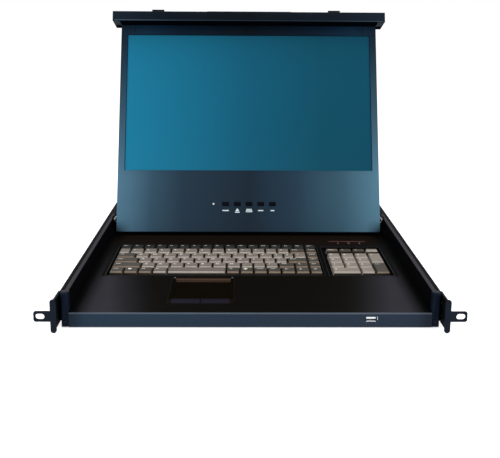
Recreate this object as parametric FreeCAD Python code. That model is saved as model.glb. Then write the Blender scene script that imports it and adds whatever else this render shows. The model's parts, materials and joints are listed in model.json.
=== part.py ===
import FreeCAD, Part
import math, os
from FreeCAD import Placement, Rotation, Vector

# Rackmount LCD console drawer, 1U high, for a 19-inch rack.  Millimetres.
# +X right, +Y to the back of the rack, +Z up.  The origin is midway between
# the two front ears' slots, on the ears' front faces.  The model stands with
# the drawer pushed home and the display opened up.

# ---- 19-inch rack ears -------------------------------------------------
EAR_OVERALL = 482.6        # across both ears
EAR_SHEET = 2.0            # ear plate and side leg
TAB_HEIGHT = 12.4          # tongue that takes the rack screw
TAB_CORNER = 2.6
SLOT_PITCH = EAR_OVERALL - 14.6   # slot centre to slot centre
SLOT_LENGTH = 10.0
SLOT_WIDTH = 6.6
STRIP_WIDTH = 6.7          # upright strip of the ear, inside the tongue
STRIP_HEIGHT = 39.4
STRIP_GAP = 1.1            # drawer front to strip, each side
LEG_DEPTH = 38.0
LEG_HEIGHT = 33.6

# ---- rear rack brackets --------------------------------------------------
RACK_DEPTH = 710.0         # front ears to rear ears
REAR_EAR_HEIGHT = 42.0
REAR_HOLE_PITCH = 31.75
REAR_ARM_LENGTH = 240.0
REAR_ARM_HEIGHT = 26.0
REAR_ADJUST = 40.0         # how far the bracket slides along its screws
ARM_SLOT = 3.6             # its width

# ---- drawer shell ----------------------------------------------------------
EAR_REACH = 31.5           # side wall to ear's end: slide, leg and tongue
DRAWER_HALF = EAR_OVERALL / 2 - EAR_REACH   # outside of the side walls
SHEET = 1.2
FLOOR_LOW = -20.5
FLANGE_TOP = 18.8
FLANGE_HALF = DRAWER_HALF + 5.4   # outer edge of the side walls' top flanges
FLANGE_END = 367.0
FRONT_Y = 17.0             # front of the tray, behind the closed handle bar
POST_HALF = DRAWER_HALF + 5.3
POST_WIDTH = 8.4
POST_DEPTH = 10.0
POST_TOP = 20.3
BODY_BACK = RACK_DEPTH - 70.0
HOUSING_FRONT = 346.0      # front wall of the rear housing

# ---- ball-bearing slides ----------------------------------------------------
SLIDE_TOP = 17.0           # half height of the outer member
SLIDE_WIDTH = 9.5
MEMBER = 1.2               # thickness of the outer and middle members
INNER_MEMBER = 1.0
BALL_GAP = 2.4             # between two members' tracks
BALL_R = 1.15
OUTER_FRONT = 28.5
OUTER_BACK = RACK_DEPTH - 106.0
MIDDLE_FRONT = 30.0
MIDDLE_BACK = OUTER_BACK - 14.0
INNER_BACK = OUTER_BACK - 76.0
CAGE_LENGTH = 180.0
CAGE_SHEET = 0.8
CAGE_BALLS = 2             # per row
OUTER_CAGE_FRONT = 132.0
INNER_CAGE_FRONT = 226.0

# ---- rear housing ---------------------------------------------------------------
VENT = (60.0, 3.4)         # length and width of a vent slot
SUPPLY = ((DRAWER_HALF - 119.8, DRAWER_HALF - 19.8), (BODY_BACK - 210.0, BODY_BACK - 40.0), 28.0)

# ---- front bar and keyboard deck ---------------------------------------------
BAR_WALL = 2.5
DECK_TOP = -3.5
DECK_SHEET = 1.5
DECK_BACK = 292.0
DECK_LIP = 8.0
DECK_TAIL = 14.0           # how far the deck reaches back between the hinge brackets
DECK_TAIL_GAP = 2.0        # clear of the hinge brackets and their screw heads
USB_X, USB_Z = 136.8, -10.6
USB_SHELL = (13.2, 5.8, 14.0)
USB_WALL = 0.5

# ---- keyboard ------------------------------------------------------------
KEY_TOP = 0.3
KEY_HEIGHT = 6.1
KEY_GAP = 1.3              # between neighbouring caps at their foot
KEY_TAPER = 1.1            # side slope of a cap
KEY_SLOPE = 1.5            # front slope of a cap
KEY_TRAVEL = 2.2
STEM = 4.0
STEM_CLEARANCE = 0.15
BASE_TOP = -8.5
BASE_SHEET = 3.0
BASE_RIM = 2.0
DECK_EDGE = 26.6           # side wall to the keys at the left
PAD_EDGE = 26.0            # side wall to the keypad at the right
BLOCK_GAP = 12.6           # keys to keypad
KEYS_LEFT = DECK_EDGE - DRAWER_HALF
KEYS_FRONT = 138.6
KEY_ROW = 19.0
TOP_ROW = 17.6             # depth of the rearmost row
OPENING_MARGIN = 2.6       # deck opening round the caps
PAD_PITCH = 18.8           # keypad
PAD_LEFT = DRAWER_HALF - PAD_EDGE - 4 * PAD_PITCH
ROW_WIDTH = 279.2          # the rows below are written for this width
PAD_MARGIN = 5.5
SHORT_KEY = 10.4           # keypad's shallow top row

# ---- touchpad ---------------------------------------------------------------
TOUCH_X = -59.2
TOUCH_FRONT = 44.6
TOUCH_FRAME = (82.0, 85.8)
TOUCH_PAD = (69.0, 55.0)
TOUCH_PAD_FRONT = 61.6
TOUCH_BUTTON = (33.6, 11.4)
TOUCH_BUTTON_TRAVEL = 0.7
BOARD = 1.6

# ---- display ----------------------------------------------------------------
HINGE_Y, HINGE_Z = 321.0, 17.0
LEAN = 18.8                # display tipped back from upright
PANEL_HALF = DRAWER_HALF - 8.8
PANEL_HEIGHT = 324.2
PANEL_DEPTH = 16.0
HINGE_UP = 19.5            # hinge above the display's lower edge
HINGE_BEHIND = 12.5        # hinge behind the display's face
BEZEL_SHEET = 1.6
SHELL_SHEET = 1.2
BEZEL_RETURN = 9.0
SCREEN = (2 * PANEL_HALF - 20.0, 215.0)
SCREEN_LOW = 94.0
SCREEN_LAP = 4.0
MODULE_DEPTH = 6.5
SHAFT_R = 2.5
SHAFT_PLAY = 0.05
WASHER_R = 5.0
WASHER_X = (PANEL_HALF + 1.2, PANEL_HALF + 5.2)
BRACKET_SHEET = 2.0

# ---- handle bar --------------------------------------------------------------
BAR_HALF = DRAWER_HALF + 0.2
BAR_THICK = 15.5
BAR_FORWARD = 23.4         # how far it stands out in front of the display's face
BAR_SKIN = 1.8
BAR_WEB = 1.2
BAR_BEVEL = 0.8
CAP_SHEET = 1.5
GRIP_HALF = 65.0
GRIP_RISE = 1.3
BOLT = (6.0, 5.9)          # latch bolt's section
BOLT_FORWARD = 14.0
BOLT_PLAY = 0.2
BOLT_TRAVEL = 6.0
KNOB = (18.6, 10.0, 5.0)
KNOB_LEFT, KNOB_RIGHT = -142.0, 133.0

# ---- display controls ----------------------------------------------------------
OSD_X = (-35.0, -17.2, 0.7, 18.6, 36.5)
OSD_UP = 42.6
OSD_BUTTON = (10.0, 6.0)
OSD_TRAVEL = 0.6
OSD_PLAY = 0.25
LENS_X = -53.6
LENS_R = 1.5

# ---- rear panel sockets ------------------------------------------------------------
INLET_X = 150.0
INLET_BODY = (27.0, 20.0, 18.0)
VIDEO_X = 60.0
DATA_X = 20.0

# ---- fasteners ---------------------------------------------------------------------------
SCREW_SIDES = 6
SCREW_HOLE = 1.5
POST_SCREW_R, POST_SCREW_Z = 2.2, -14.0

# ---- places worked out from the sizes above ------------------------------------------
WALL_IN = DRAWER_HALF - SHEET
FLOOR_TOP = FLOOR_LOW + SHEET
FLANGE_LOW = FLANGE_TOP - SHEET
STRIP_IN = POST_HALF + STRIP_GAP
STRIP_OUT = STRIP_IN + STRIP_WIDTH
RAIL_OUT = DRAWER_HALF + SLIDE_WIDTH
POST_IN = POST_HALF - POST_WIDTH
POST_BACK = FRONT_Y + POST_DEPTH
MIDDLE_TOP = SLIDE_TOP - MEMBER - BALL_GAP
INNER_TOP = MIDDLE_TOP - MEMBER - BALL_GAP
INNER_WEB = DRAWER_HALF + INNER_MEMBER
MIDDLE_IN = INNER_WEB + 0.2
MIDDLE_OUT = STRIP_IN - 0.8
DECK_LOW = DECK_TOP - DECK_SHEET
KEYS_RIGHT = PAD_LEFT - BLOCK_GAP
BASE_LOW = BASE_TOP - BASE_SHEET
BAR_TOP = PANEL_HEIGHT + BAR_THICK
BOARD_FACE = 7.0           # behind the display's face


def box(x, y, z):
    return Part.makeBox(x[1] - x[0], y[1] - y[0], z[1] - z[0], Vector(x[0], y[0], z[0]))


def around(centre, size):
    return (centre - size / 2, centre + size / 2)


def rod(point, direction, radius, length):
    return Part.makeCylinder(radius, length, Vector(*point), Vector(*direction))


def profile(points, direction):
    corners = [Vector(*p) for p in points]
    return Part.Face(Part.makePolygon(corners + corners[:1])).extrude(Vector(*direction))


def mirror(shape):
    return shape.mirror(Vector(0, 0, 0), Vector(1, 0, 0))


def both(shape):
    return [shape, mirror(shape)]


def rounded(shape, radius, chosen, flat=False):
    """Round the chosen edges, or bevel them flat."""
    edges = [e for e in shape.Edges if chosen(e)]
    return shape.makeChamfer(radius, edges) if flat else shape.makeFillet(radius, edges)


def runs_along(edge, axis):
    a, b = edge.Vertexes[0].Point, edge.Vertexes[-1].Point
    return abs((b - a).normalize().dot(axis)) > 0.999


def on_display(shape):
    """Turn a shape drawn on an upright display to the opened display.

    X is across, Y is behind the display's face, Z is up from its lower edge.
    """
    lean = Rotation(Vector(1, 0, 0), -LEAN)
    hinge = lean.multVec(Vector(0, HINGE_BEHIND, HINGE_UP))
    moved = shape.copy()
    moved.Placement = Placement(Vector(0, HINGE_Y, HINGE_Z) - hinge, lean).multiply(shape.Placement)
    return moved


def save(name, shapes, place=None):
    shapes = shapes if isinstance(shapes, list) else [shapes]
    if place:
        shapes = [place(s) for s in shapes]
    shape = shapes[0] if len(shapes) == 1 else Part.makeCompound(shapes)
    shape.exportStep(f"parts/{name}.step")


def prism(point, direction, radius, length):
    """A prism of few sides inside a circle of that radius, for small fasteners and their holes."""
    turns = [2 * math.pi * (i + 0.5) / SCREW_SIDES for i in range(SCREW_SIDES)]
    shape = profile([(radius * math.cos(t), radius * math.sin(t), 0) for t in turns], (0, 0, length))
    shape.Placement = Placement(Vector(*point), Rotation(Vector(0, 0, 1), Vector(*direction)))
    return shape


def screw(seat, direction, length, head_r=2.6, head=1.2, shank_r=SCREW_HOLE - 0.05):
    """A screw whose head stands on its seat and whose shank goes along direction."""
    top = Vector(*seat) - Vector(*direction) * head
    return prism(top, direction, head_r, head).fuse(
        prism(seat, direction, shank_r, length)).removeSplitter()


def frustum(foot, low, top, high):
    """A solid of flat sides between two level rectangles, each (left, right, front, back)."""
    def corners(r, z):
        return [Vector(r[i], r[j], z) for i, j in ((0, 2), (1, 2), (1, 3), (0, 3))]
    a, b = corners(foot, low), corners(top, high)
    rings = [a[::-1], b] + [[a[i], a[i - 3], b[i - 3], b[i]] for i in range(4)]
    return Part.makeSolid(Part.makeShell([Part.Face(Part.makePolygon(r + r[:1])) for r in rings]))


# ---- rack side --------------------------------------------------------------

EAR_SCREWS = [(OUTER_FRONT - 6.5, z) for z in (-8.0, 8.0)]
ARM_SCREWS = [(RACK_DEPTH - REAR_ARM_LENGTH + y, 0.0) for y in (25.0, 95.0)]


def slot(middle, along, through, width):
    """A round-ended slot: along is its whole length, through its depth, both as vectors."""
    run = Vector(*along) * (1 - width / Vector(*along).Length) / 2
    a, b = Vector(*middle) - run, Vector(*middle) + run
    through = Vector(*through)
    side = through.cross(run).normalize() * (width / 2)
    ends = [Part.makeCylinder(width / 2, through.Length, p, through) for p in (a, b)]
    return profile([a + side, b + side, b - side, a - side], through).fuse(ends).removeSplitter()


def ear_bracket():
    strip = rounded(box((STRIP_IN, STRIP_OUT), (0, EAR_SHEET), around(0, STRIP_HEIGHT)),
                    STRIP_WIDTH / 2 - 0.1, lambda e: runs_along(e, Vector(0, 1, 0)))
    tab = rounded(box((STRIP_OUT - 3, EAR_OVERALL / 2), (0, EAR_SHEET), around(0, TAB_HEIGHT)),
                  TAB_CORNER, lambda e: runs_along(e, Vector(0, 1, 0))
                  and e.BoundBox.XMin > EAR_OVERALL / 2 - 0.1)
    leg = rounded(box((RAIL_OUT, RAIL_OUT + EAR_SHEET), (0, LEG_DEPTH), around(0, LEG_HEIGHT)),
                  4.0, lambda e: runs_along(e, Vector(1, 0, 0)) and e.BoundBox.YMin > LEG_DEPTH - 0.1, True)
    ear = strip.fuse([tab, leg]).removeSplitter()
    holes = [prism((RAIL_OUT - 1, y, z), (1, 0, 0), SCREW_HOLE, EAR_SHEET + 2) for y, z in EAR_SCREWS]
    rack_slot = slot((SLOT_PITCH / 2, -1, 0), (SLOT_LENGTH, 0, 0), (0, EAR_SHEET + 2, 0), SLOT_WIDTH)
    return ear.cut([rack_slot] + holes)


def channel(out, web, lips, top, y):
    """A slide member: a web at |X| web, with an upper and a lower track running to lips."""
    t = abs(out - web)
    low, high = sorted((out, lips))
    points = [(out, -top), (lips, -top), (lips, -top + t), (web, -top + t),
              (web, top - t), (lips, top - t), (lips, top), (out, top)]
    return profile([(x, y[0], z) for x, z in points], (0, y[1] - y[0], 0))


def outer_rail():
    rail = channel(RAIL_OUT, RAIL_OUT - MEMBER, MIDDLE_IN + 0.2, SLIDE_TOP, (EAR_SHEET + 2, OUTER_BACK))
    nose = box((0, RAIL_OUT - MEMBER), (0, OUTER_FRONT), (-30, 30))
    holes = [prism((RAIL_OUT - 2, y, z), (1, 0, 0), SCREW_HOLE, 3) for y, z in EAR_SCREWS + ARM_SCREWS]
    return rail.cut([nose] + holes)


def middle_rail():
    return channel(MIDDLE_OUT, MIDDLE_OUT - MEMBER, MIDDLE_IN, MIDDLE_TOP, (MIDDLE_FRONT, MIDDLE_BACK))


RAIL_SCREW_Y = (60.0, INNER_BACK - 28.0)


def inner_rail():
    rail = channel(DRAWER_HALF, INNER_WEB, MIDDLE_OUT - MEMBER - 1.4, INNER_TOP, (POST_BACK + 1.5, INNER_BACK))
    return rail.cut([prism((DRAWER_HALF - 1, y, 0), (1, 0, 0), SCREW_HOLE, 3) for y in RAIL_SCREW_Y])


def ball(centre):
    """A ball, with flats in place of its round face."""
    cube = box(*[around(c, 2 * BALL_R) for c in centre])
    return cube.makeChamfer(BALL_R * (2 - math.sqrt(2)), cube.Edges)


def ball_cage(front, tip, web, track):
    """A retainer bent round a member, with its rows of balls; track is the balls' height."""
    strip_low = track - CAGE_SHEET / 2
    points = [(tip, strip_low), (web, strip_low), (web, -strip_low), (tip, -strip_low),
              (tip, -strip_low - CAGE_SHEET), (web + 0.6, -strip_low - CAGE_SHEET),
              (web + 0.6, strip_low + CAGE_SHEET), (tip, strip_low + CAGE_SHEET)]
    cage = profile([(x, front, z) for x, z in points], (0, CAGE_LENGTH, 0))
    ball_x = tip + BALL_R + 0.4
    step = CAGE_LENGTH / CAGE_BALLS
    places = [Vector(ball_x, front + step * (i + 0.5), side * track)
              for i in range(CAGE_BALLS) for side in (-1, 1)]
    hole = BALL_R * 2 + 0.1
    seats = [box(around(p.x, hole), around(p.y, hole), around(p.z, 4)) for p in places]
    return [cage.cut(seats)] + [ball(p) for p in places]


def rear_bracket():
    out = RAIL_OUT + EAR_SHEET
    arm = box((RAIL_OUT, out), (RACK_DEPTH - REAR_ARM_LENGTH, RACK_DEPTH), around(0, REAR_ARM_HEIGHT))
    ear = box((RAIL_OUT, EAR_OVERALL / 2), (RACK_DEPTH - EAR_SHEET, RACK_DEPTH), around(0, REAR_EAR_HEIGHT))
    holes = [slot((SLOT_PITCH / 2, RACK_DEPTH - EAR_SHEET - 1, z), (SLOT_LENGTH, 0, 0), (0, EAR_SHEET + 2, 0),
                  SLOT_WIDTH) for z in (-REAR_HOLE_PITCH / 2, REAR_HOLE_PITCH / 2)]
    middle = (ARM_SCREWS[0][0] + ARM_SCREWS[-1][0] + REAR_ADJUST) / 2 - 6
    adjust = slot((RAIL_OUT - 1, middle, 0), (0, ARM_SCREWS[-1][0] - ARM_SCREWS[0][0] + REAR_ADJUST, 0),
                  (EAR_SHEET + 2, 0, 0), ARM_SLOT)
    return arm.fuse(ear).removeSplitter().cut(holes + [adjust])


def rail_screws():
    x = RAIL_OUT + EAR_SHEET
    return [screw((x, y, z), (-1, 0, 0), EAR_SHEET + MEMBER) for y, z in EAR_SCREWS + ARM_SCREWS]


# ---- drawer shell -----------------------------------------------------------------

SCREW_IN = 38.6            # side wall to the screws under the drawer
SCREW_X = (SCREW_IN - WALL_IN, WALL_IN - SCREW_IN)
BAR_SCREWS = [(x, FRONT_Y + 10) for x in SCREW_X]
FOOT_SCREWS = [(x, y) for x in SCREW_X for y in (HOUSING_FRONT + 6, BODY_BACK - 6)]
LID_SCREWS = [(x, BODY_BACK - 6) for x in (SCREW_X[0], 0.0, SCREW_X[1])]
BRACKET_SCREWS = [(HINGE_Y + y, -12.0) for y in (-14.0, 14.0)]


def tray_pan():
    floor = box((-DRAWER_HALF, DRAWER_HALF), (POST_BACK, BODY_BACK), (FLOOR_LOW, FLOOR_TOP)).fuse(
        box((-POST_IN, POST_IN), (FRONT_Y + BAR_WALL, POST_BACK), (FLOOR_LOW, FLOOR_TOP)))
    wall = box((WALL_IN, DRAWER_HALF), (POST_BACK, BODY_BACK), (FLOOR_LOW, FLANGE_TOP))
    flange = box((WALL_IN, FLANGE_HALF), (POST_BACK, FLANGE_END), (FLANGE_LOW, FLANGE_TOP))
    lug = box((WALL_IN, POST_HALF - 0.6), (POST_BACK, POST_BACK + 1.2), (-18.0, INNER_TOP * -1 - 0.4))
    pan = floor.fuse(both(wall) + both(flange) + both(lug)).removeSplitter()
    up = [prism((x, y, FLOOR_LOW - 1), (0, 0, 1), SCREW_HOLE, 4) for x, y in BAR_SCREWS + FOOT_SCREWS]
    side = [prism((WALL_IN - 1, y, z), (1, 0, 0), SCREW_HOLE, 3)
            for y, z in [(y, 0.0) for y in RAIL_SCREW_Y] + BRACKET_SCREWS]
    lugs = prism(((POST_IN + POST_HALF) / 2, POST_BACK - 1, POST_SCREW_Z), (0, 1, 0), SCREW_HOLE, 4)
    return pan.cut(up + [h for s in side + [lugs] for h in both(s)])


def front_bar():
    face = box((-POST_IN, POST_IN), (FRONT_Y, FRONT_Y + BAR_WALL), (FLOOR_LOW, DECK_TOP + 0.1))
    face = rounded(face, 0.8, lambda e: runs_along(e, Vector(1, 0, 0)) and e.BoundBox.YMax < FRONT_Y + 0.1)
    ledge = box((-POST_IN, POST_IN), (FRONT_Y + BAR_WALL, POST_BACK), (DECK_LOW - 1.6, DECK_LOW))
    foot = box((-POST_IN, POST_IN), (FRONT_Y + BAR_WALL, POST_BACK + 4), (FLOOR_TOP, FLOOR_TOP + 1.6))
    bar = face.fuse([ledge, foot]).removeSplitter()
    port = box(around(USB_X, USB_SHELL[0] + 0.2), (0, 60), around(USB_Z, USB_SHELL[1] + 0.2))
    holes = [prism((x, y, FLOOR_TOP - 1), (0, 0, 1), SCREW_HOLE, 4) for x, y in BAR_SCREWS]
    return bar.cut([port] + holes)


def end_post():
    post = box((POST_IN, POST_HALF), (FRONT_Y, POST_BACK), (FLOOR_LOW, POST_TOP))
    post = rounded(post, 1.2, lambda e: e.BoundBox.YMax < FRONT_Y + 0.1, True)
    tongue = box((POST_IN, WALL_IN), (POST_BACK, POST_BACK + 9), (FLOOR_TOP, DECK_LOW))
    x = (POST_IN + POST_HALF) / 2
    sink = [prism((x, FRONT_Y - 1, POST_SCREW_Z), (0, 1, 0), POST_SCREW_R + 0.2, 2.2),
            prism((x, FRONT_Y, POST_SCREW_Z), (0, 1, 0), SCREW_HOLE, 30)]
    return post.fuse(tongue).removeSplitter().cut(sink)


def keyboard_rows():
    """Each row as (front, depth, [(width, kind), ...]) from left to right, for a row ROW_WIDTH wide."""
    p, d, l = 19.0, "dark", "light"
    end = (16.5, d)
    return [
        (0, KEY_ROW, [(18.6, d), (18.8, d), (18.8, d), (19.2, l), (77.0, "space"), (18.1, d), (18.1, d),
                      (18.1, d), (18.3, d), (18.7, d), (19.0, d), end]),
        (1, KEY_ROW, [(38.8, "left_shift")] + [(p, l)] * 7
         + [(16.4, l), (16.7, l), (17.2, l), (21.8, "right_shift"), (18.8, d), end]),
        (2, KEY_ROW, [(32.2, d)] + [(p, l)] * 9 + [(16.0, l), (16.0, l), (27.5, "enter"), end]),
        (3, KEY_ROW, [(25.9, d)] + [(p, l)] * 10 + [(14.8, l), (14.7, l), (17.3, l), end]),
        (4, KEY_ROW, [(16.1, l)] + [(p, l)] * 10 + [(16.7, l), (17.3, l), (22.6, "backspace"), end]),
        (5, TOP_ROW, [(ROW_WIDTH / 17, d)] * 17),
    ]


def keypad():
    """Each keypad key as (column, row, columns wide, rows deep, kind)."""
    digits = [(c, r, 1, 1, "light") for r in (1, 2, 3) for c in (0, 1, 2)]
    return digits + [(0, 0, 2, 1, "keypad_zero"), (2, 0, 1, 1, "light"), (3, 0, 1, 2, "keypad_enter"),
                     (3, 2, 1, 2, "light")]


def key_cells():
    """Every key as (kind, left, right, front, back)."""
    cells = []
    for row, depth, keys in keyboard_rows():
        x, y = KEYS_LEFT, KEYS_FRONT + row * KEY_ROW
        for width, kind in keys:
            width *= (KEYS_RIGHT - KEYS_LEFT) / ROW_WIDTH
            cells.append((kind, x, x + width, y, y + depth))
            x += width
    for column, row, wide, deep, kind in keypad():
        x, y = PAD_LEFT + column * PAD_PITCH, KEYS_FRONT + row * KEY_ROW
        cells.append((kind, x, x + wide * PAD_PITCH, y, y + deep * KEY_ROW))
    back = KEYS_FRONT + 5 * KEY_ROW
    for column, kind in enumerate(("light", "dark", "dark", "light")):
        x = PAD_LEFT + column * PAD_PITCH
        cells.append((kind, x, x + PAD_PITCH, back - SHORT_KEY, back))
    return cells


KEYS_BACK = KEYS_FRONT + 5 * KEY_ROW + TOP_ROW
PAD_RIGHT = PAD_LEFT + 4 * PAD_PITCH
PAD_BACK = KEYS_FRONT + 5 * KEY_ROW
OPEN_LEFT = KEYS_LEFT - OPENING_MARGIN
OPEN_FRONT = KEYS_FRONT - OPENING_MARGIN
OPEN_BACK = KEYS_BACK + 1.4
DIVIDER = (KEYS_RIGHT + OPENING_MARGIN, PAD_LEFT - PAD_MARGIN)
OPEN_RIGHT = PAD_RIGHT + PAD_MARGIN


def key_cap(left, right, front, back, sprung):
    half = KEY_GAP / 2
    low = KEY_TOP - KEY_HEIGHT
    foot = (left + half, right - half, front + half, back - half)
    top = (foot[0] + KEY_TAPER, foot[1] - KEY_TAPER, foot[2] + KEY_SLOPE, foot[3] - KEY_TAPER)
    cap = frustum(foot, low, top, KEY_TOP)
    stem_low = BASE_LOW if sprung else BASE_TOP
    stem = box(around((left + right) / 2, STEM), around((front + back) / 2, STEM), (stem_low, low))
    return cap.fuse(stem).removeSplitter()


SPRUNG_KEYS = ("space", "enter", "backspace", "left_shift", "right_shift", "keypad_zero", "keypad_enter")


def keys(kind):
    return [key_cap(*cell[1:], kind in SPRUNG_KEYS) for cell in key_cells() if cell[0] == kind]


def keyboard_base():
    x, y = (OPEN_LEFT - BASE_RIM, OPEN_RIGHT + BASE_RIM), (OPEN_FRONT - BASE_RIM, OPEN_BACK + BASE_RIM)
    tray = box(x, y, (BASE_LOW, DECK_LOW))
    wells = [box((OPEN_LEFT, DIVIDER[0]), (OPEN_FRONT, OPEN_BACK), (BASE_TOP, DECK_LOW)),
             box((DIVIDER[1], OPEN_RIGHT), (OPEN_FRONT, OPEN_BACK), (BASE_TOP, DECK_LOW))]
    size = STEM + 2 * STEM_CLEARANCE
    guides = [box(around((c[1] + c[2]) / 2, size), around((c[3] + c[4]) / 2, size), (BASE_LOW, BASE_TOP))
              for c in key_cells() if c[0] in SPRUNG_KEYS]
    return tray.cut(wells + guides)


LIGHTS = [(x, OPEN_BACK + 13.5) for x in (131.9, 147.4, 163.0)]
LIGHT_R = 1.3


def deck_cover():
    deck = box((-WALL_IN, WALL_IN), (POST_BACK, DECK_BACK), (DECK_LOW, DECK_TOP)).fuse(
        box((-POST_IN, POST_IN), (FRONT_Y + BAR_WALL, POST_BACK), (DECK_LOW, DECK_TOP)))
    tail = WALL_IN - BRACKET_SHEET - DECK_TAIL_GAP
    back = DECK_BACK + DECK_TAIL
    lip = box((-tail, tail), (DECK_BACK, back), (DECK_LOW, DECK_TOP)).fuse(
        box((-tail, tail), (back - SHEET, back), (DECK_LOW - DECK_LIP, DECK_LOW)))
    touch = box(around(TOUCH_X, TOUCH_FRAME[0] + 0.2), (TOUCH_FRONT - 0.1, TOUCH_FRONT + TOUCH_FRAME[1] + 0.1), (-30, 30))
    keys_cut = [box((OPEN_LEFT, DIVIDER[0]), (OPEN_FRONT, OPEN_BACK), (-30, 30)),
                box((DIVIDER[1], OPEN_RIGHT), (OPEN_FRONT, OPEN_BACK), (-30, 30))]
    lights = [prism((x, y, -30), (0, 0, 1), LIGHT_R + 0.05, 60) for x, y in LIGHTS]
    return deck.fuse(lip).removeSplitter().cut([touch] + keys_cut + lights)


def light_lenses():
    """Three lock lights, moulded on one light guide under the deck."""
    y = LIGHTS[0][1]
    guide = box((LIGHTS[0][0] - 3, LIGHTS[-1][0] + 3), around(y, 4 * LIGHT_R), (DECK_LOW - 3, DECK_LOW))
    return guide.fuse([prism((x, y, DECK_LOW), (0, 0, 1), LIGHT_R, DECK_SHEET + 0.3) for x, y in LIGHTS])


# ---- touchpad -----------------------------------------------------------------------

FRAME_TOP = DECK_TOP - 0.2
FRAME_LOW = DECK_LOW - 3.5
PAD_TOP = FRAME_TOP - 0.7
BUTTON_Y = (TOUCH_FRONT + 1.9, TOUCH_FRONT + 1.9 + TOUCH_BUTTON[1])
BUTTON_X = [around(TOUCH_X + s * (TOUCH_BUTTON[0] / 2 + 0.8), TOUCH_BUTTON[0]) for s in (-1, 1)]


def touchpad_frame():
    y = (TOUCH_FRONT, TOUCH_FRONT + TOUCH_FRAME[1])
    frame = box(around(TOUCH_X, TOUCH_FRAME[0]), y, (FRAME_LOW, FRAME_TOP))
    frame = rounded(frame, 2.0, lambda e: runs_along(e, Vector(0, 0, 1)), True)
    flange = box(around(TOUCH_X, TOUCH_FRAME[0] + 6), (y[0] - 3, y[1] + 3), (DECK_LOW - 1.5, DECK_LOW))
    pad = box(around(TOUCH_X, TOUCH_PAD[0]), (TOUCH_PAD_FRONT, TOUCH_PAD_FRONT + TOUCH_PAD[1]),
              (PAD_TOP - BOARD, FRAME_TOP))
    play = 0.2
    buttons = [box((x[0] - play, x[1] + play), (BUTTON_Y[0] - play, BUTTON_Y[1] + play), (FRAME_LOW, FRAME_TOP))
               for x in BUTTON_X]
    return frame.fuse(flange).removeSplitter().cut([pad] + buttons)


def touchpad_pad():
    return box(around(TOUCH_X, TOUCH_PAD[0]), (TOUCH_PAD_FRONT, TOUCH_PAD_FRONT + TOUCH_PAD[1]),
               (PAD_TOP - BOARD, PAD_TOP))


def touchpad_button(x):
    cap = box(x, BUTTON_Y, (FRAME_LOW + 1.5, FRAME_TOP + 0.5))
    return cap.makeChamfer(0.4, [e for e in cap.Edges if e.BoundBox.ZMin > FRAME_TOP + 0.4])


def boards():
    y = (TOUCH_FRONT + 2, TOUCH_FRONT + TOUCH_FRAME[1] - 2)
    touch = box(around(TOUCH_X, TOUCH_FRAME[0] - 4), y, (FRAME_LOW - BOARD, FRAME_LOW))
    main = box((-150, 70), (BODY_BACK - 240, BODY_BACK - 40), (FLOOR_TOP + 6, FLOOR_TOP + 6 + BOARD))
    feet = [box(around(x, 6), around(y, 6), (FLOOR_TOP, FLOOR_TOP + 6)) for x in (-144, 64)
            for y in (BODY_BACK - 234, BODY_BACK - 46)]
    chips = [box(around(x, 28), around(y, 28), (FLOOR_TOP + 6 + BOARD, FLOOR_TOP + 10))
             for x, y in ((-90, BODY_BACK - 170), (0, BODY_BACK - 120))]
    return [touch, main.fuse(feet + chips).removeSplitter()]


def usb_port():
    w, h, deep = USB_SHELL
    y = (FRONT_Y + 0.3, FRONT_Y + 0.3 + deep)
    shell = box(around(USB_X, w), y, around(USB_Z, h))
    hollow = box(around(USB_X, w - 2 * USB_WALL), (0, y[1] - 1), around(USB_Z, h - 2 * USB_WALL))
    tongue = box(around(USB_X, w - 2.4), (y[0] + 0.8, y[1]), (USB_Z + 0.3, USB_Z + 2.1))
    foot = box(around(USB_X, w + 2), (y[0] + 5, y[1] + 3), (FLOOR_TOP + 1.6, USB_Z - h / 2))
    return shell.cut(hollow).fuse([tongue, foot]).removeSplitter()


# ---- rear housing ------------------------------------------------------------------------


def rear_cover():
    top = box((-WALL_IN, WALL_IN), (HOUSING_FRONT, BODY_BACK), (FLANGE_LOW, FLANGE_TOP))
    front = box((-WALL_IN, WALL_IN), (HOUSING_FRONT, HOUSING_FRONT + SHEET), (FLOOR_TOP, FLANGE_LOW))
    foot = box((18.6 - WALL_IN, WALL_IN - 18.6), (HOUSING_FRONT + SHEET, HOUSING_FRONT + 12), (FLOOR_TOP, FLOOR_TOP + SHEET))
    cover = top.fuse([front, foot]).removeSplitter()
    vents = [box(around(x, VENT[1]), around(HOUSING_FRONT + 154, VENT[0]), (FLANGE_LOW - 1, FLANGE_TOP + 1))
             for x in range(-150, -50, 10)]
    down = [prism((x, y, FLANGE_LOW - 1), (0, 0, 1), SCREW_HOLE, 4) for x, y in LID_SCREWS]
    up = [prism((x, y, FLOOR_TOP - 1), (0, 0, 1), SCREW_HOLE, 4) for x, y in FOOT_SCREWS]
    return cover.cut(vents + down + up)


def rear_panel():
    panel = box((-WALL_IN, WALL_IN), (BODY_BACK - SHEET, BODY_BACK), (FLOOR_TOP, FLANGE_LOW))
    flanges = [box((18.6 - WALL_IN, WALL_IN - 18.6), (BODY_BACK - 12, BODY_BACK - SHEET), z)
               for z in ((FLOOR_TOP, FLOOR_TOP + SHEET), (FLANGE_LOW - SHEET, FLANGE_LOW))]
    cuts = [box(around(INLET_X, INLET_BODY[0]), (0, BODY_BACK + 9), around(0, INLET_BODY[1])),
            box(around(VIDEO_X, 18.0), (0, BODY_BACK + 9), around(0, 10.0)),
            box(around(DATA_X, 12.0), (0, BODY_BACK + 9), around(0, 11.0))]
    holes = [prism((x, y, FLANGE_LOW - 3), (0, 0, 1), SCREW_HOLE, 4) for x, y in LID_SCREWS]
    holes += [prism((x, y, FLOOR_TOP - 1), (0, 0, 1), SCREW_HOLE, 4) for x, y in FOOT_SCREWS]
    return panel.fuse(flanges).removeSplitter().cut(cuts + holes)


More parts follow.
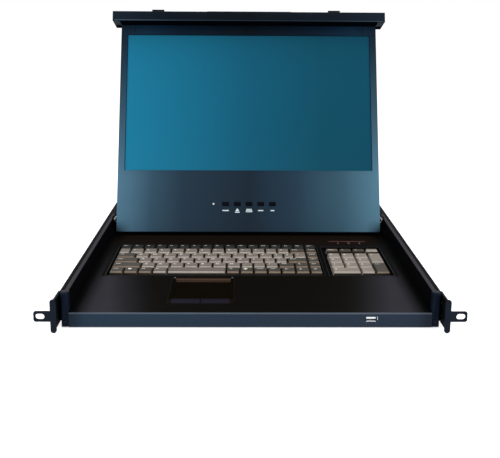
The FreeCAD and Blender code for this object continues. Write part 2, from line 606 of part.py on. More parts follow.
def power_inlet():
    w, h, deep = INLET_BODY
    body = box(around(INLET_X, w), (BODY_BACK - deep, BODY_BACK), around(0, h)).fuse(
        box(around(INLET_X, w + 5), (BODY_BACK, BODY_BACK + 2), around(0, h + 4)))
    hollow = box(around(INLET_X, w - 3), (BODY_BACK - deep + 2, BODY_BACK + 3), around(0, h - 3))
    blades = [box(around(INLET_X + x, 2.0), (BODY_BACK - deep, BODY_BACK - 2), around(z, 4.0))
              for x, z in ((-7, -2), (7, -2), (0, 3))]
    return body.cut(hollow).fuse(blades).removeSplitter()


def signal_sockets():
    """A 15-way D-shaped video socket and a square data socket."""
    def d_shape(width, height, slope, y, length):
        half = width / 2
        return profile([(VIDEO_X - half, y, height / 2), (VIDEO_X + half, y, height / 2),
                        (VIDEO_X + half - slope, y, -height / 2), (VIDEO_X - half + slope, y, -height / 2)],
                       (0, length, 0))
    plate = box(around(VIDEO_X, 31.0), (BODY_BACK, BODY_BACK + 1), around(0, 12.5))
    video = plate.fuse([d_shape(16.9, 8.3, 1.4, BODY_BACK + 1, 5),
                        box(around(VIDEO_X, 17.6), (BODY_BACK - 10, BODY_BACK), around(0, 9.6))]).removeSplitter()
    pins = [box(around(VIDEO_X + x, 1.1), (BODY_BACK + 2, BODY_BACK + 7), around(z, 1.1))
            for z in (-2.2, 0, 2.2) for x in (-5, -2.5, 0, 2.5, 5)]
    data = box(around(DATA_X, 11.8), (BODY_BACK - 12, BODY_BACK + 1), around(0, 10.8))
    port = box(around(DATA_X, 8.6), (BODY_BACK - 9, BODY_BACK + 2), around(0, 7.9))
    tongue = box(around(DATA_X, 5.4), (BODY_BACK - 12, BODY_BACK - 1), around(0, 2.8))
    return [video.cut(pins), data.cut(port).fuse(tongue).removeSplitter()]


def power_supply():
    x, y, height = SUPPLY
    case = box(x, y, (FLOOR_TOP, FLOOR_TOP + height))
    inside = box((x[0] + SHEET, x[1] - SHEET), (y[0] + SHEET, y[1] - SHEET),
                 (FLOOR_TOP + SHEET, FLOOR_TOP + height - SHEET))
    vents = [box((x[0] - 1, x[0] + SHEET + 1), around(place, VENT[1]), around(FLOOR_TOP + height / 2, height * 0.6))
             for place in range(round(y[0]) + 20, round(y[1]) - 10, 12)]
    return case.cut([inside] + vents)


def drawer_screws():
    post_x = (POST_IN + POST_HALF) / 2
    sides = [screw((post_x, FRONT_Y + 1.2, POST_SCREW_Z), (0, 1, 0), POST_DEPTH + 0.5, POST_SCREW_R, 1.1)]
    sides += [screw((INNER_WEB, y, 0), (-1, 0, 0), INNER_MEMBER + SHEET, 2.2, 1.1) for y in RAIL_SCREW_Y]
    sides += [screw((WALL_IN - BRACKET_SHEET, y, z), (1, 0, 0), BRACKET_SHEET + SHEET, 2.2)
              for y, z in BRACKET_SCREWS]
    up = [screw((x, y, FLOOR_LOW), (0, 0, 1), SHEET + 1.6, 2.6, 0.8) for x, y in BAR_SCREWS]
    up += [screw((x, y, FLOOR_LOW), (0, 0, 1), 2 * SHEET, 2.6, 0.8) for x, y in FOOT_SCREWS]
    down = [screw((x, y, FLANGE_TOP), (0, 0, -1), 2 * SHEET) for x, y in LID_SCREWS]
    return [s for one in sides for s in both(one)] + up + down


# ---- hinges ---------------------------------------------------------------------------------


def hinge_bracket():
    """A plate screwed inside the side wall, with the bore that carries the display's shaft."""
    x = (WALL_IN - BRACKET_SHEET, WALL_IN)
    plate = box(x, (HINGE_Y - 20, HINGE_Y + 20), (FLOOR_TOP, 4))
    neck = box(x, (HINGE_Y - WASHER_R, HINGE_Y + WASHER_R), (4, HINGE_Z))
    eye = rod((x[0], HINGE_Y, HINGE_Z), (1, 0, 0), WASHER_R, BRACKET_SHEET)
    bore = rod((x[0] - 1, HINGE_Y, HINGE_Z), (1, 0, 0), SHAFT_R + SHAFT_PLAY, BRACKET_SHEET + 2)
    holes = [prism((x[0] - 1, y, z), (1, 0, 0), SCREW_HOLE, BRACKET_SHEET + 2) for y, z in BRACKET_SCREWS]
    return plate.fuse([neck, eye]).removeSplitter().cut([bore] + holes)


ARM_X = PANEL_HALF - SHELL_SHEET - 0.4
ARM_SCREW_UP = (50.0, 80.0)


def hinge_arm():
    """The display's half of the hinge: an angle on the back cover with the shaft standing out of it."""
    inside = PANEL_DEPTH - SHELL_SHEET
    leg = box((ARM_X - 2, ARM_X), (6, inside), (10, 90))
    foot = box((ARM_X - 14, ARM_X), (inside - 2, inside), (30, 90))
    shaft = rod((ARM_X - 2, HINGE_BEHIND, HINGE_UP), (1, 0, 0), SHAFT_R, WALL_IN - 0.1 - ARM_X + 2)
    collar = rod((PANEL_HALF + 0.2, HINGE_BEHIND, HINGE_UP), (1, 0, 0), SHAFT_R + 1.2,
                 WASHER_X[0] - PANEL_HALF - 0.2)
    arm = leg.fuse([foot, shaft, collar]).removeSplitter()
    return arm.cut([prism((ARM_X - 9, 0, z), (0, 1, 0), SCREW_HOLE, 20) for z in ARM_SCREW_UP])


def hinge_washer():
    ring = rod((WASHER_X[0], HINGE_BEHIND, HINGE_UP), (1, 0, 0), WASHER_R, WASHER_X[1] - WASHER_X[0])
    return ring.cut(rod((WASHER_X[0] - 1, HINGE_BEHIND, HINGE_UP), (1, 0, 0), SHAFT_R, 8))


# ---- display (drawn upright, see on_display) ----------------------------------------------

BOSSES = [(x, z) for x in (16.0 - PANEL_HALF, PANEL_HALF - 16.0) for z in (7.0, PANEL_HEIGHT - 6.0)]


def shaft_way():
    return both(rod((ARM_X - 2.4, HINGE_BEHIND, HINGE_UP), (1, 0, 0), SHAFT_R + 0.4, 6))


def lcd_bezel():
    half, top = PANEL_HALF, PANEL_HEIGHT
    shell = box((-half, half), (0, BEZEL_RETURN), (0, top))
    shell = rounded(shell, 0.8, lambda e: e.BoundBox.YMax < 0.1 and not e.BoundBox.ZMin > top - 0.1)
    inner = box((-half + SHELL_SHEET, half - SHELL_SHEET), (BEZEL_SHEET, BEZEL_RETURN), (SHELL_SHEET, top))
    bosses = [box(around(x, 6), (BEZEL_SHEET, PANEL_DEPTH - SHELL_SHEET), around(z, 6)) for x, z in BOSSES]
    cuts = [box(around(0, SCREEN[0]), (-1, 5), (SCREEN_LOW, SCREEN_LOW + SCREEN[1])),
            prism((LENS_X, -1, OSD_UP), (0, 1, 0), LENS_R + 0.05, 5)]
    cuts += [box(around(x, OSD_BUTTON[0] + 2 * OSD_PLAY), (-1, 5), around(OSD_UP, OSD_BUTTON[1] + 2 * OSD_PLAY))
             for x in OSD_X]
    cuts += [prism((x, PANEL_DEPTH - 8, z), (0, 1, 0), SCREW_HOLE, 8) for x, z in BOSSES]
    return shell.cut(inner).fuse(bosses).removeSplitter().cut(cuts)


def lcd_back_cover():
    half, top = PANEL_HALF, PANEL_HEIGHT
    shell = box((-half, half), (BEZEL_RETURN, PANEL_DEPTH), (0, top))
    shell = rounded(shell, 1.0, lambda e: e.BoundBox.YMin > PANEL_DEPTH - 0.1 and not e.BoundBox.ZMin > top - 0.1)
    inner = box((-half + SHELL_SHEET, half - SHELL_SHEET), (BEZEL_RETURN - 1, PANEL_DEPTH - SHELL_SHEET),
                (SHELL_SHEET, top - SHELL_SHEET))
    holes = [prism((x, 0, z), (0, 1, 0), SCREW_HOLE, 30) for x, z in BOSSES]
    holes += [h for z in ARM_SCREW_UP for h in both(prism((ARM_X - 9, 0, z), (0, 1, 0), SCREW_HOLE, 30))]
    return shell.cut([inner] + holes + shaft_way())


def screen_panel():
    return box(around(0, SCREEN[0] + 2 * SCREEN_LAP), (BEZEL_SHEET, BEZEL_SHEET + MODULE_DEPTH),
               (SCREEN_LOW - SCREEN_LAP, SCREEN_LOW + SCREEN[1] + SCREEN_LAP))


def lcd_boards():
    osd = box((-62, 48), (BOARD_FACE, BOARD_FACE + BOARD), around(OSD_UP, 18))
    stand = [box(around(x, 4), (BEZEL_SHEET, BOARD_FACE), around(OSD_UP + 7, 4)) for x in (-59, 45)]
    back = BEZEL_SHEET + MODULE_DEPTH
    driver = box((-80, 80), (back + 2, back + 2 + BOARD), (120, 220))
    feet = [box(around(x, 5), (back, back + 2), around(z, 5)) for x in (-74, 74) for z in (126, 214)]
    return [osd.fuse(stand).removeSplitter(), driver.fuse(feet).removeSplitter()]


def osd_button(x):
    cap = box(around(x, OSD_BUTTON[0]), (-0.8, 4.0), around(OSD_UP, OSD_BUTTON[1]))
    cap = cap.makeChamfer(0.5, [e for e in cap.Edges if e.BoundBox.YMax < -0.7])
    return cap.fuse(box(around(x, 3), (4.0, BOARD_FACE - OSD_TRAVEL - 0.1), around(OSD_UP, 3))).removeSplitter()


def status_lens():
    lens = prism((LENS_X, -0.3, OSD_UP), (0, 1, 0), LENS_R, BOARD_FACE + 0.3)
    foot = 2 * LENS_R + 1.6
    return lens.fuse(box(around(LENS_X, foot), (BEZEL_SHEET, BEZEL_SHEET + 1.5), around(OSD_UP, foot))).removeSplitter()


def bar_section(x):
    """The extrusion's cavities: a guide for the latch bolt, and the hollows round it."""
    low, high = PANEL_HEIGHT + BAR_SKIN, BAR_TOP - BAR_SKIN
    shelf = high - BOLT[1] - 2 * BOLT_PLAY
    front, back = -BAR_FORWARD + BAR_SKIN, PANEL_DEPTH - BAR_SKIN
    guide = (-BOLT_FORWARD - BOLT_PLAY, -BOLT_FORWARD + BOLT[0] + BOLT_PLAY)
    return [box(x, guide, (shelf, high)),
            box(x, (front, guide[0] - BAR_WEB), (shelf, high)),
            box(x, (guide[1] + BAR_WEB, back), (low, high)),
            box(x, (front, guide[1]), (low, shelf - BAR_WEB))]


def handle_bar():
    bar = box((-BAR_HALF, BAR_HALF), (-BAR_FORWARD, PANEL_DEPTH), (PANEL_HEIGHT, BAR_TOP))
    bar = rounded(bar, BAR_BEVEL, lambda e: runs_along(e, Vector(1, 0, 0)), True)
    stem = (KNOB[0] / 2, 3.0 + 2 * BOLT_PLAY)
    mid = -BOLT_FORWARD + BOLT[0] / 2
    slots = []
    for x, side in ((KNOB_LEFT, -1), (KNOB_RIGHT, 1)):
        ends = sorted((x - side * (stem[0] / 2 + BOLT_PLAY), x + side * (stem[0] / 2 + BOLT_PLAY + BOLT_TRAVEL)))
        slots.append(box(ends, around(mid, stem[1]), (BAR_TOP - 4, BAR_TOP + 1)))
    return bar.cut(bar_section((-BAR_HALF - 1, BAR_HALF + 1)) + slots)


def bar_end_cap():
    plate = box((BAR_HALF, BAR_HALF + CAP_SHEET), (-BAR_FORWARD, PANEL_DEPTH), (PANEL_HEIGHT, BAR_TOP))
    plate = rounded(plate, BAR_BEVEL, lambda e: runs_along(e, Vector(1, 0, 0)), True)
    guide, _, plug, _ = bar_section((BAR_HALF - 8, BAR_HALF + 3))
    return plate.cut(guide).fuse(plug.common(box((BAR_HALF - 8, BAR_HALF), (-50, 50), (0, 400)))).removeSplitter()


def handle_grip():
    y = (-BAR_FORWARD + 3, -2)
    grip = box((-GRIP_HALF, GRIP_HALF), y, (BAR_TOP, BAR_TOP + GRIP_RISE))
    return rounded(grip, 0.6, lambda e: e.BoundBox.ZMin > BAR_TOP + GRIP_RISE - 0.1)


def latch(x, side):
    """A sliding bolt in the bar's guide, with its thumb knob on the outer face."""
    high = BAR_TOP - BAR_SKIN - BOLT_PLAY
    mid = -BOLT_FORWARD + BOLT[0] / 2
    ends = sorted((x - side * 8, side * (BAR_HALF + CAP_SHEET - 0.2)))
    bolt = box(ends, (-BOLT_FORWARD, -BOLT_FORWARD + BOLT[0]), (high - BOLT[1], high))
    stem = box(around(x, KNOB[0] / 2), around(mid, 3.0), (high, BAR_TOP + BOLT_PLAY))
    knob = box(around(x, KNOB[0]), around(mid, KNOB[1]), (BAR_TOP + BOLT_PLAY, BAR_TOP + KNOB[2]))
    knob = rounded(knob, 0.8, lambda e: e.BoundBox.ZMin > BAR_TOP + KNOB[2] - 0.1)
    return bolt.fuse([stem, knob]).removeSplitter()


def lcd_screws():
    back = PANEL_DEPTH
    screws = [screw((x, back, z), (0, -1, 0), 7.0, 2.4, 0.6) for x, z in BOSSES]
    arms = [screw((ARM_X - 9, back, z), (0, -1, 0), SHELL_SHEET + 2, 2.4, 0.6) for z in ARM_SCREW_UP]
    return screws + [s for one in arms for s in both(one)]


# ---- build ---------------------------------------------------------------------------------

os.makedirs("parts", exist_ok=True)

ear = ear_bracket()
save("ear_bracket_right", ear)
save("ear_bracket_left", mirror(ear))
rail = outer_rail()
save("outer_rail_right", rail)
save("outer_rail_left", mirror(rail))
save("rear_brackets", both(rear_bracket()))
save("rail_screws", [s for one in rail_screws() for s in both(one)])
save("middle_rails", both(middle_rail()))
OUTER_TRACK = MIDDLE_TOP + BALL_GAP / 2
INNER_TRACK = INNER_TOP + BALL_GAP / 2
save("outer_ball_cages", [s for one in ball_cage(OUTER_CAGE_FRONT, MIDDLE_IN + 1.2, MIDDLE_OUT + 0.6, OUTER_TRACK)
                          for s in both(one)])
save("inner_ball_cages", [s for one in ball_cage(INNER_CAGE_FRONT, MIDDLE_IN, MIDDLE_OUT - MEMBER - 1.0, INNER_TRACK)
                          for s in both(one)])

save("tray_pan", tray_pan())
save("front_bar", front_bar())
post = end_post()
save("end_post_right", post)
save("end_post_left", mirror(post))
save("deck_cover", deck_cover())
save("keyboard_base", keyboard_base())
save("light_keys", keys("light"))
save("dark_keys", keys("dark"))
for kind in SPRUNG_KEYS:
    save(f"{kind}_key", keys(kind))
save("light_lenses", light_lenses())
save("touchpad_frame", touchpad_frame())
save("touchpad_pad", touchpad_pad())
save("touchpad_button_left", touchpad_button(BUTTON_X[0]))
save("touchpad_button_right", touchpad_button(BUTTON_X[1]))
save("drawer_boards", boards())
save("usb_port", usb_port())
save("inner_rails", both(inner_rail()))
save("hinge_brackets", both(hinge_bracket()))
save("rear_cover", rear_cover())
save("rear_panel", rear_panel())
save("power_inlet", power_inlet())
save("signal_sockets", signal_sockets())
save("power_supply", power_supply())
save("drawer_screws", drawer_screws())

save("lcd_bezel", lcd_bezel(), on_display)
save("lcd_back_cover", lcd_back_cover(), on_display)
save("screen_panel", screen_panel(), on_display)
save("lcd_boards", lcd_boards(), on_display)
arm = hinge_arm()
save("hinge_arm_right", arm, on_display)
save("hinge_arm_left", mirror(arm), on_display)
save("hinge_washers", both(hinge_washer()), on_display)
save("handle_bar", handle_bar(), on_display)
save("bar_end_caps", both(bar_end_cap()), on_display)
save("handle_grip", handle_grip(), on_display)
save("latch_left", latch(KNOB_LEFT, -1), on_display)
save("latch_right", latch(KNOB_RIGHT, 1), on_display)
for number, x in enumerate(OSD_X, 1):
    save(f"osd_button_{number}", osd_button(x), on_display)
save("status_lens", status_lens(), on_display)
save("lcd_screws", lcd_screws(), on_display)
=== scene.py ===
# %% [markdown]
# # A rack console drawer, dressed for its picture
# The drawer's metal, keys, slides and hinges come ready made, as a frame of
# named nodes. This notebook adds what the camera needs: light, finishes,
# softened edges, key caps with a dish and the small printed marks.

# %% Load the frame
import json
import math
import bmesh
import bpy
from mathutils import Matrix, Vector


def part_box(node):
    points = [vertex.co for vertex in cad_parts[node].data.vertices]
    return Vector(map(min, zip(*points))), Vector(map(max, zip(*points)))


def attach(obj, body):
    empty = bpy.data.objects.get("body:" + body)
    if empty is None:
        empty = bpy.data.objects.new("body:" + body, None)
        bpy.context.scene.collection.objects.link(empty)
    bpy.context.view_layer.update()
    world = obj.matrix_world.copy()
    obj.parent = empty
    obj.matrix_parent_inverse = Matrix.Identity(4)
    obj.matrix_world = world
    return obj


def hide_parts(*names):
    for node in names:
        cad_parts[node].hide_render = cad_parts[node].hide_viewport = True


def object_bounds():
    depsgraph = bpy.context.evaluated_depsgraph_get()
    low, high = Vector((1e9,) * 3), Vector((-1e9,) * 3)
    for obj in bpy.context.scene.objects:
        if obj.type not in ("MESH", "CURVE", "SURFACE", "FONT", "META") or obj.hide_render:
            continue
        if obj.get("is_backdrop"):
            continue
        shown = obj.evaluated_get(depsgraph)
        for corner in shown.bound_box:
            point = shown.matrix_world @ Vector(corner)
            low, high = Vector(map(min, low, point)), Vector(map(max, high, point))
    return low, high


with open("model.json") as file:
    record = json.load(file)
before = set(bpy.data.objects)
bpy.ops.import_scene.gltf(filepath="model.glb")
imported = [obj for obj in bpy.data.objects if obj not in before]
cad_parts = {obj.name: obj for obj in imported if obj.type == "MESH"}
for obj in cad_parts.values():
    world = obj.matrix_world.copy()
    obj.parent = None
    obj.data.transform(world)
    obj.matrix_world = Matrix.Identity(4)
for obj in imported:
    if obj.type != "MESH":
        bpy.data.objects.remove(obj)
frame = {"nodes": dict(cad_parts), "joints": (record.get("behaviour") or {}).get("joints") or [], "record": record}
cad_low, cad_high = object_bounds()
NODES = frame["nodes"]
JOINTS = {joint["name"]: joint for joint in frame["joints"]}
print("nodes", len(NODES), "box", [round(v, 4) for v in cad_low], [round(v, 4) for v in cad_high])

# %% [markdown]
# ## The camera comes first
# A product picture of a drawer is taken from above its front edge. A camera
# can be turned with three angles, but the columns of its matrix say the same
# thing more plainly: where its right, its up and its back point. The lens
# shift lowers the horizon without tilting the camera any further.

# %% Camera
scene = bpy.context.scene
eye = Vector((-0.01246, -0.75359, 0.33581))
pitch, yaw, roll = 0.1897, 0.0132, 0.0062  # radians: downwards, to the right and the horizon's tilt
forward = Vector((math.sin(yaw) * math.cos(pitch), math.cos(yaw) * math.cos(pitch), -math.sin(pitch)))
level = Vector((math.cos(yaw), -math.sin(yaw), 0))
upward = level.cross(forward)
right = level * math.cos(roll) + upward * math.sin(roll)
upward = upward * math.cos(roll) - level * math.sin(roll)
lens = bpy.data.cameras.new("camera")
lens.lens, lens.sensor_width, lens.sensor_fit = 52.09, 36.0, "HORIZONTAL"
lens.shift_y = -0.1623
lens.clip_start, lens.clip_end = 0.01, 100
camera = bpy.data.objects.new("camera", lens)
camera.matrix_world = Matrix.Translation(eye) @ Matrix((right, upward, -forward)).transposed().to_4x4()
scene.collection.objects.link(camera)
scene.camera = camera
print("camera at", tuple(round(v, 3) for v in eye))

# %% [markdown]
# ## Writing shaders as sums
# A shader is a graph of small nodes. To keep the cells below short, a socket
# is wrapped in a class that turns plus, minus and times into Math nodes, and
# a material in another that adds noises, ramps and mixes. A colour is given
# by its code, such as 3f5a72, wherever a socket or a ramp takes one.

# %% A shader socket that does arithmetic
def colour(code):
    """The linear colour of a code, as a shader wants it."""
    channels = [int(code[i:i + 2], 16) / 255 for i in (0, 2, 4)]
    return tuple(c / 12.92 if c <= 0.04045 else ((c + 0.055) / 1.055) ** 2.4 for c in channels) + (1.0,)


class Value:
    """A shader socket. Adding, multiplying or comparing it adds a Math node."""

    def __init__(self, finish, socket):
        self.finish, self.socket = finish, socket

    def maths(self, operation, other, swap=False):
        pair = (other, self) if swap else (self, other)
        return self.finish.node("Math", {"operation": operation}, {0: pair[0], 1: pair[1]})

    def __add__(self, other): return self.maths("ADD", other)
    def __sub__(self, other): return self.maths("SUBTRACT", other)
    def __rsub__(self, other): return self.maths("SUBTRACT", other, True)
    def __mul__(self, other): return self.maths("MULTIPLY", other)
    def __truediv__(self, other): return self.maths("DIVIDE", other)
    def __gt__(self, other): return self.maths("GREATER_THAN", other)
    def __lt__(self, other): return self.maths("LESS_THAN", other)
    def size(self): return self.maths("ABSOLUTE", 0.0)
    __radd__, __rmul__ = __add__, __mul__


class Finish:
    """A material or a world, with one method that adds any node to it."""

    def __init__(self, name, kind="BsdfPrincipled", world=False, **plain):
        self.material = (bpy.data.worlds if world else bpy.data.materials).new(name)
        self.material.use_nodes = True
        self.tree = self.material.node_tree
        self.tree.nodes.clear()
        self.output = self.tree.nodes.new("ShaderNodeOutput" + ("World" if world else "Material"))
        self.shader = self.tree.nodes.new("ShaderNode" + kind)
        self.tree.links.new(self.shader.outputs[0], self.output.inputs[0])
        self.set(**plain)

    def join(self, socket, value):
        if isinstance(value, Value):
            self.tree.links.new(value.socket, socket)
        else:
            socket.default_value = colour(value) if isinstance(value, str) else value

    def set(self, **values):
        for name, value in values.items():
            self.join(self.shader.inputs[name.replace("_", " ").title().replace("Ior", "IOR")], value)
        return self

    def node(self, kind, settings=None, inputs=None, output=0):
        made = self.tree.nodes.new("ShaderNode" + kind)
        for name, value in (settings or {}).items():
            if name == "stops":
                ramp = made.color_ramp
                while len(ramp.elements) < len(value):
                    ramp.elements.new(0.5)
                for element, (place, tone) in zip(ramp.elements, value):
                    element.position, element.color = place, colour(tone) if isinstance(tone, str) else tone
            else:
                setattr(made, name, value)
        for name, value in (inputs or {}).items():
            self.join(made.inputs[name], value)
        return Value(self, made.outputs[output])

    def whole(self):
        """The place on the object, as a vector in metres."""
        return self.node("TexCoord", output="Object")

    def place(self):
        """The place on the object as its X, Y and Z."""
        whole = self.whole()
        return [self.node("SeparateXYZ", {}, {0: whole}, i) for i in range(3)]

    def mix(self, factor, first, second):
        return self.node("Mix", {"data_type": "RGBA"}, {0: factor, 6: first, 7: second}, 2)

    def ramp(self, value, *stops):
        return self.node("ValToRGB", {"stops": stops}, {0: value})

    def grain(self, scale, stretch=(1, 1, 1), detail=2.0):
        """A noise of that scale, from 0 to 1; stretch makes it lie along a direction."""
        laid = self.node("Mapping", {}, {"Vector": self.whole(), "Scale": stretch})
        return self.node("TexNoise", {}, {"Vector": laid, "Scale": scale, "Detail": detail})

    def bump(self, height, distance, strength=1.0):
        return self.node("Bump", {}, {"Height": height, "Distance": distance, "Strength": strength})


print("shader helpers ready")

# %% [markdown]
# ## Floor, sky and lamps
# The sheet of white paper under a product is a plane that shows white to the
# camera but still takes a shadow. The world behind it is white too, to the
# camera and in reflections. As a light it is only half as strong, so that the
# softboxes above and at the sides give the metal its shape.

# %% Floor and world
FLOOR_Z = cad_low.z - 0.0004
WHITE = (1, 1, 1, 1)


def sheet(bm, place, half_x, half_y):
    """Add a flat rectangle centred on a place, facing along the place's Z."""
    bmesh.ops.create_grid(bm, x_segments=1, y_segments=1, size=1,
                          matrix=place @ Matrix.Diagonal((half_x, half_y, 1, 1)))


def placed(bm, name, finish):
    """The bmesh as an object in the scene, with a finish."""
    mesh = bpy.data.meshes.new(name)
    bm.to_mesh(mesh)
    bm.free()
    mesh.materials.append(finish.material)
    thing = bpy.data.objects.new(name, mesh)
    scene.collection.objects.link(thing)
    return thing


def seen_as(finish, bright):
    """Show a brighter shader to the camera, to reflections and through clear parts."""
    seen, mirrored, through = [finish.node("LightPath", output=name)
                               for name in ("Is Camera Ray", "Is Glossy Ray", "Is Transmission Ray")]
    plain = Value(finish, finish.shader.outputs[0])
    finish.join(finish.output.inputs[0], finish.node("MixShader", {}, {
        0: seen + mirrored + through, 1: plain, 2: bright}))


paper = Finish("paper", "BsdfDiffuse", color=(0.86, 0.86, 0.86, 1))
glow = paper.node("Emission", {}, {0: WHITE, 1: 0.6})
seen_as(paper, paper.node("AddShader", {}, {0: Value(paper, paper.shader.outputs[0]), 1: glow}))
bm = bmesh.new()
sheet(bm, Matrix.Translation((0, 0, FLOOR_Z)), 30, 30)
placed(bm, "floor", paper)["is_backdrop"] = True
sky = Finish("studio", "Background", world=True, color=WHITE, strength=0.55)
seen_as(sky, sky.node("Background", {}, {0: WHITE, 1: 1.0}))
scene.world = sky.material
print("floor at", round(FLOOR_Z, 4))

# %% [markdown]
# ## Four softboxes
# A large lamp close by gives soft edges to every shadow. One hangs overhead,
# two stand at the sides for the walls and the ears, and one lights the front.

# %% Softboxes
def softbox(name, at, aim, width, height, watts):
    """A flat lamp of that size, turned towards a point."""
    data = bpy.data.lights.new(name, "AREA")
    data.shape, data.size, data.size_y, data.energy = "RECTANGLE", width, height, watts
    lamp = bpy.data.objects.new(name, data)
    at, aim = Vector(at), Vector(aim)
    lamp.matrix_world = Matrix.Translation(at) @ (aim - at).to_track_quat("-Z", "Y").to_matrix().to_4x4()
    scene.collection.objects.link(lamp)


softbox("overhead", (0.1, -0.2, 2.2), (0, 0.25, 0), 1.8, 1.8, 26)
softbox("left_box", (-1.9, -0.9, 1.1), (0, 0.2, 0.05), 0.9, 1.2, 12)
softbox("right_box", (1.9, -0.9, 1.1), (0, 0.2, 0.05), 0.9, 1.2, 12)
softbox("front_box", (0.0, -2.4, 0.9), (0, 0.2, 0.1), 1.6, 0.9, 9)
scene.view_settings.view_transform = "Standard"
print("four softboxes")

# %% [markdown]
# ## Powder coat, the finish of the chassis
# Powder is baked on sheet steel and leaves a fine orange peel. Two noises do
# it: a small one for the bumps and a wider one that shifts the tone a little.
# A dark paint seen at a flat angle mirrors the white room, so its specular
# level is held low and the same all over, set on the shader itself. The side
# walls' flanges are painted lighter on top, a painted highlight, up to a dark
# rim left as painted shade at their outer edge, and the lid is a shade lighter.

# %% Powder coat
def powder(name, dark, light, rough=0.5, shine=0.12, peel=0.00004):
    finish = Finish(name, specular_ior_level=shine)
    finish.cloud = finish.grain(60, detail=3.0)
    finish.tone = finish.mix(finish.cloud, dark, light)
    fine = finish.grain(1500)
    return finish.set(base_color=finish.tone, roughness=rough + (fine - 0.5) * 0.16 + (finish.cloud - 0.5) * 0.1,
                      normal=finish.bump(fine, peel))


BRACKET_BLACK = powder("bracket_black", "10151f", "19212d", 0.42, 0.04)
CHASSIS_BLACK = powder("chassis_black", "040405", "0a0a0c", 0.62, 0.02)
x, y, z = CHASSIS_BLACK.place()
tray_high, lid_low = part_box("tray_pan")[1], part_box("rear_cover")[0]
# Painted light on the flanges' tops, stopping short of a rim that keeps the dark tone as painted shade on the
# outer edge.
FLANGE_SHADE_RIM = 0.0019
lit_flange_tone, lid_tone = [CHASSIS_BLACK.mix(CHASSIS_BLACK.cloud, dark, light)
                         for dark, light in (("312f34", "403d42"), ("131315", "1d1d20"))]
on_lit_flange = (z > tray_high.z - 0.0004) * (x.size() < tray_high.x - FLANGE_SHADE_RIM)
front_part = CHASSIS_BLACK.mix(on_lit_flange, CHASSIS_BLACK.tone, lit_flange_tone)
CHASSIS_BLACK.set(base_color=CHASSIS_BLACK.mix(y > lid_low.y - 0.0005, front_part, lid_tone))
RAIL_BLACK = powder("rail_black", "060709", "0c0d10", 0.55, 0.02)
POST_BLACK = powder("post_black", "080d16", "0f1a2a", 0.34, 0.04)
LCD_SHELL = powder("lcd_shell", "15181e", "1e2228", 0.48, 0.06)
KEY_BASE = powder("key_base", "080707", "0e0c0c", 0.6, 0.03)
BUTTON_BLACK = powder("button_black", "03040c", "070911", 0.4, 0.03)
print("powder coats ready")

# %% [markdown]
# ## Bare and plated metal
# Rolled steel has fine lines along the sheet, made by a noise squeezed across
# them. The lines change the roughness and the bump, and only slightly the
# colour, because bare metal takes its look from what it mirrors.

# %% Metal
def steel(name, dark, light, rough, stretch=(1, 0.02, 1), lines=900, depth=0.00001):
    finish = Finish(name)
    brushed = finish.grain(lines, stretch, 3.0)
    stain = finish.grain(25, detail=4.0)
    finish.tone = finish.mix(stain * 0.6 + brushed * 0.4, dark, light)
    return finish.set(base_color=finish.tone, metallic=1.0, normal=finish.bump(brushed, depth),
                      roughness=rough + (brushed - 0.5) * 0.2 + (stain - 0.5) * 0.08)


SLIDE_STEEL = steel("slide_steel", "7c8084", "a3a7ab", 0.34)
BALL_CAGE = steel("ball_cage", "a8a9a6", "c6c7c4", 0.24)
BALL_STEEL = steel("ball_steel", "c4c6c8", "dddfe0", 0.1, (1, 1, 1), 200, 0.000002)
SCREW_STEEL = steel("screw_steel", "8a8f94", "b0b5ba", 0.3, (1, 1, 1), 1200)
BLACK_SCREW = steel("black_screw", "15171c", "24272d", 0.38, (1, 1, 1), 1200)
HINGE_STEEL = steel("hinge_steel", "6e6f72", "94969a", 0.36, (1, 1, 0.03))
WASHER_STEEL = steel("washer_steel", "c9c2b4", "e8e2d6", 0.4, (0.05, 1, 1)).set(metallic=0.35)
SOCKET_METAL = steel("socket_metal", "b0b4b9", "dde0e3", 0.28, (0.05, 1, 1))
PORT_METAL = steel("port_metal", "757a82", "9da1a8", 0.34, (0.05, 1, 1))
print("metals ready")

# %% [markdown]
# ## The dark blue front
# The front bar, the display's frame and the handle bar share one satin blue
# paint over brushed metal. Its tone shifts along the drawer as painted light:
# lighter at the ends, a painted reflection of the side lamps that graze it,
# darker in the middle. The shift is painted with a ramp on X, so it stays
# with the part whichever way it is seen.

# %% Blue paint
def blue_paint(name, stops, rough=0.34, shine=0.05):
    """Satin blue whose tone, painted reflections included, follows a list of stops across the display's width."""
    finish = Finish(name, specular_ior_level=shine)
    across = (finish.place()[0] + half_panel) / (2 * half_panel)
    tone = finish.ramp(across, *stops)
    brushed = finish.grain(1100, (0.02, 1, 1), 2.0)
    cloud = finish.grain(18, detail=3.0)
    finish.tone = finish.mix(0.06 + (cloud - 0.5) * 0.3, tone, "22303c")
    return finish.set(base_color=finish.tone, normal=finish.bump(brushed, 0.000006),
                      roughness=rough + (brushed - 0.5) * 0.16 + (cloud - 0.5) * 0.06)


half_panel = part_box("lcd_bezel")[1].x
frame_reflection_stops = [(0.0, "4d738a"), (0.05, "476a7f"), (0.13, "314d5f"), (0.25, "213444"), (0.5, "152431"),
               (0.68, "21384a"), (0.86, "375869"), (0.95, "4b7084"), (1.0, "527a8f")]
BEZEL_BLUE = blue_paint("bezel_blue", frame_reflection_stops)
bar_reflection_stops = [(0.0, "111b26"), (0.2, "0a1018"), (0.5, "06090f"), (0.75, "0b1119"), (1.0, "121a25")]
BAR_NAVY = blue_paint("bar_navy", bar_reflection_stops, 0.3, 0.03)
front_reflection_stops = [(0.0, "202c39"), (0.03, "263646"), (0.5, "253140"), (0.97, "27313f"), (1.0, "202834")]
FRONT_NAVY = blue_paint("front_navy", front_reflection_stops, 0.36)
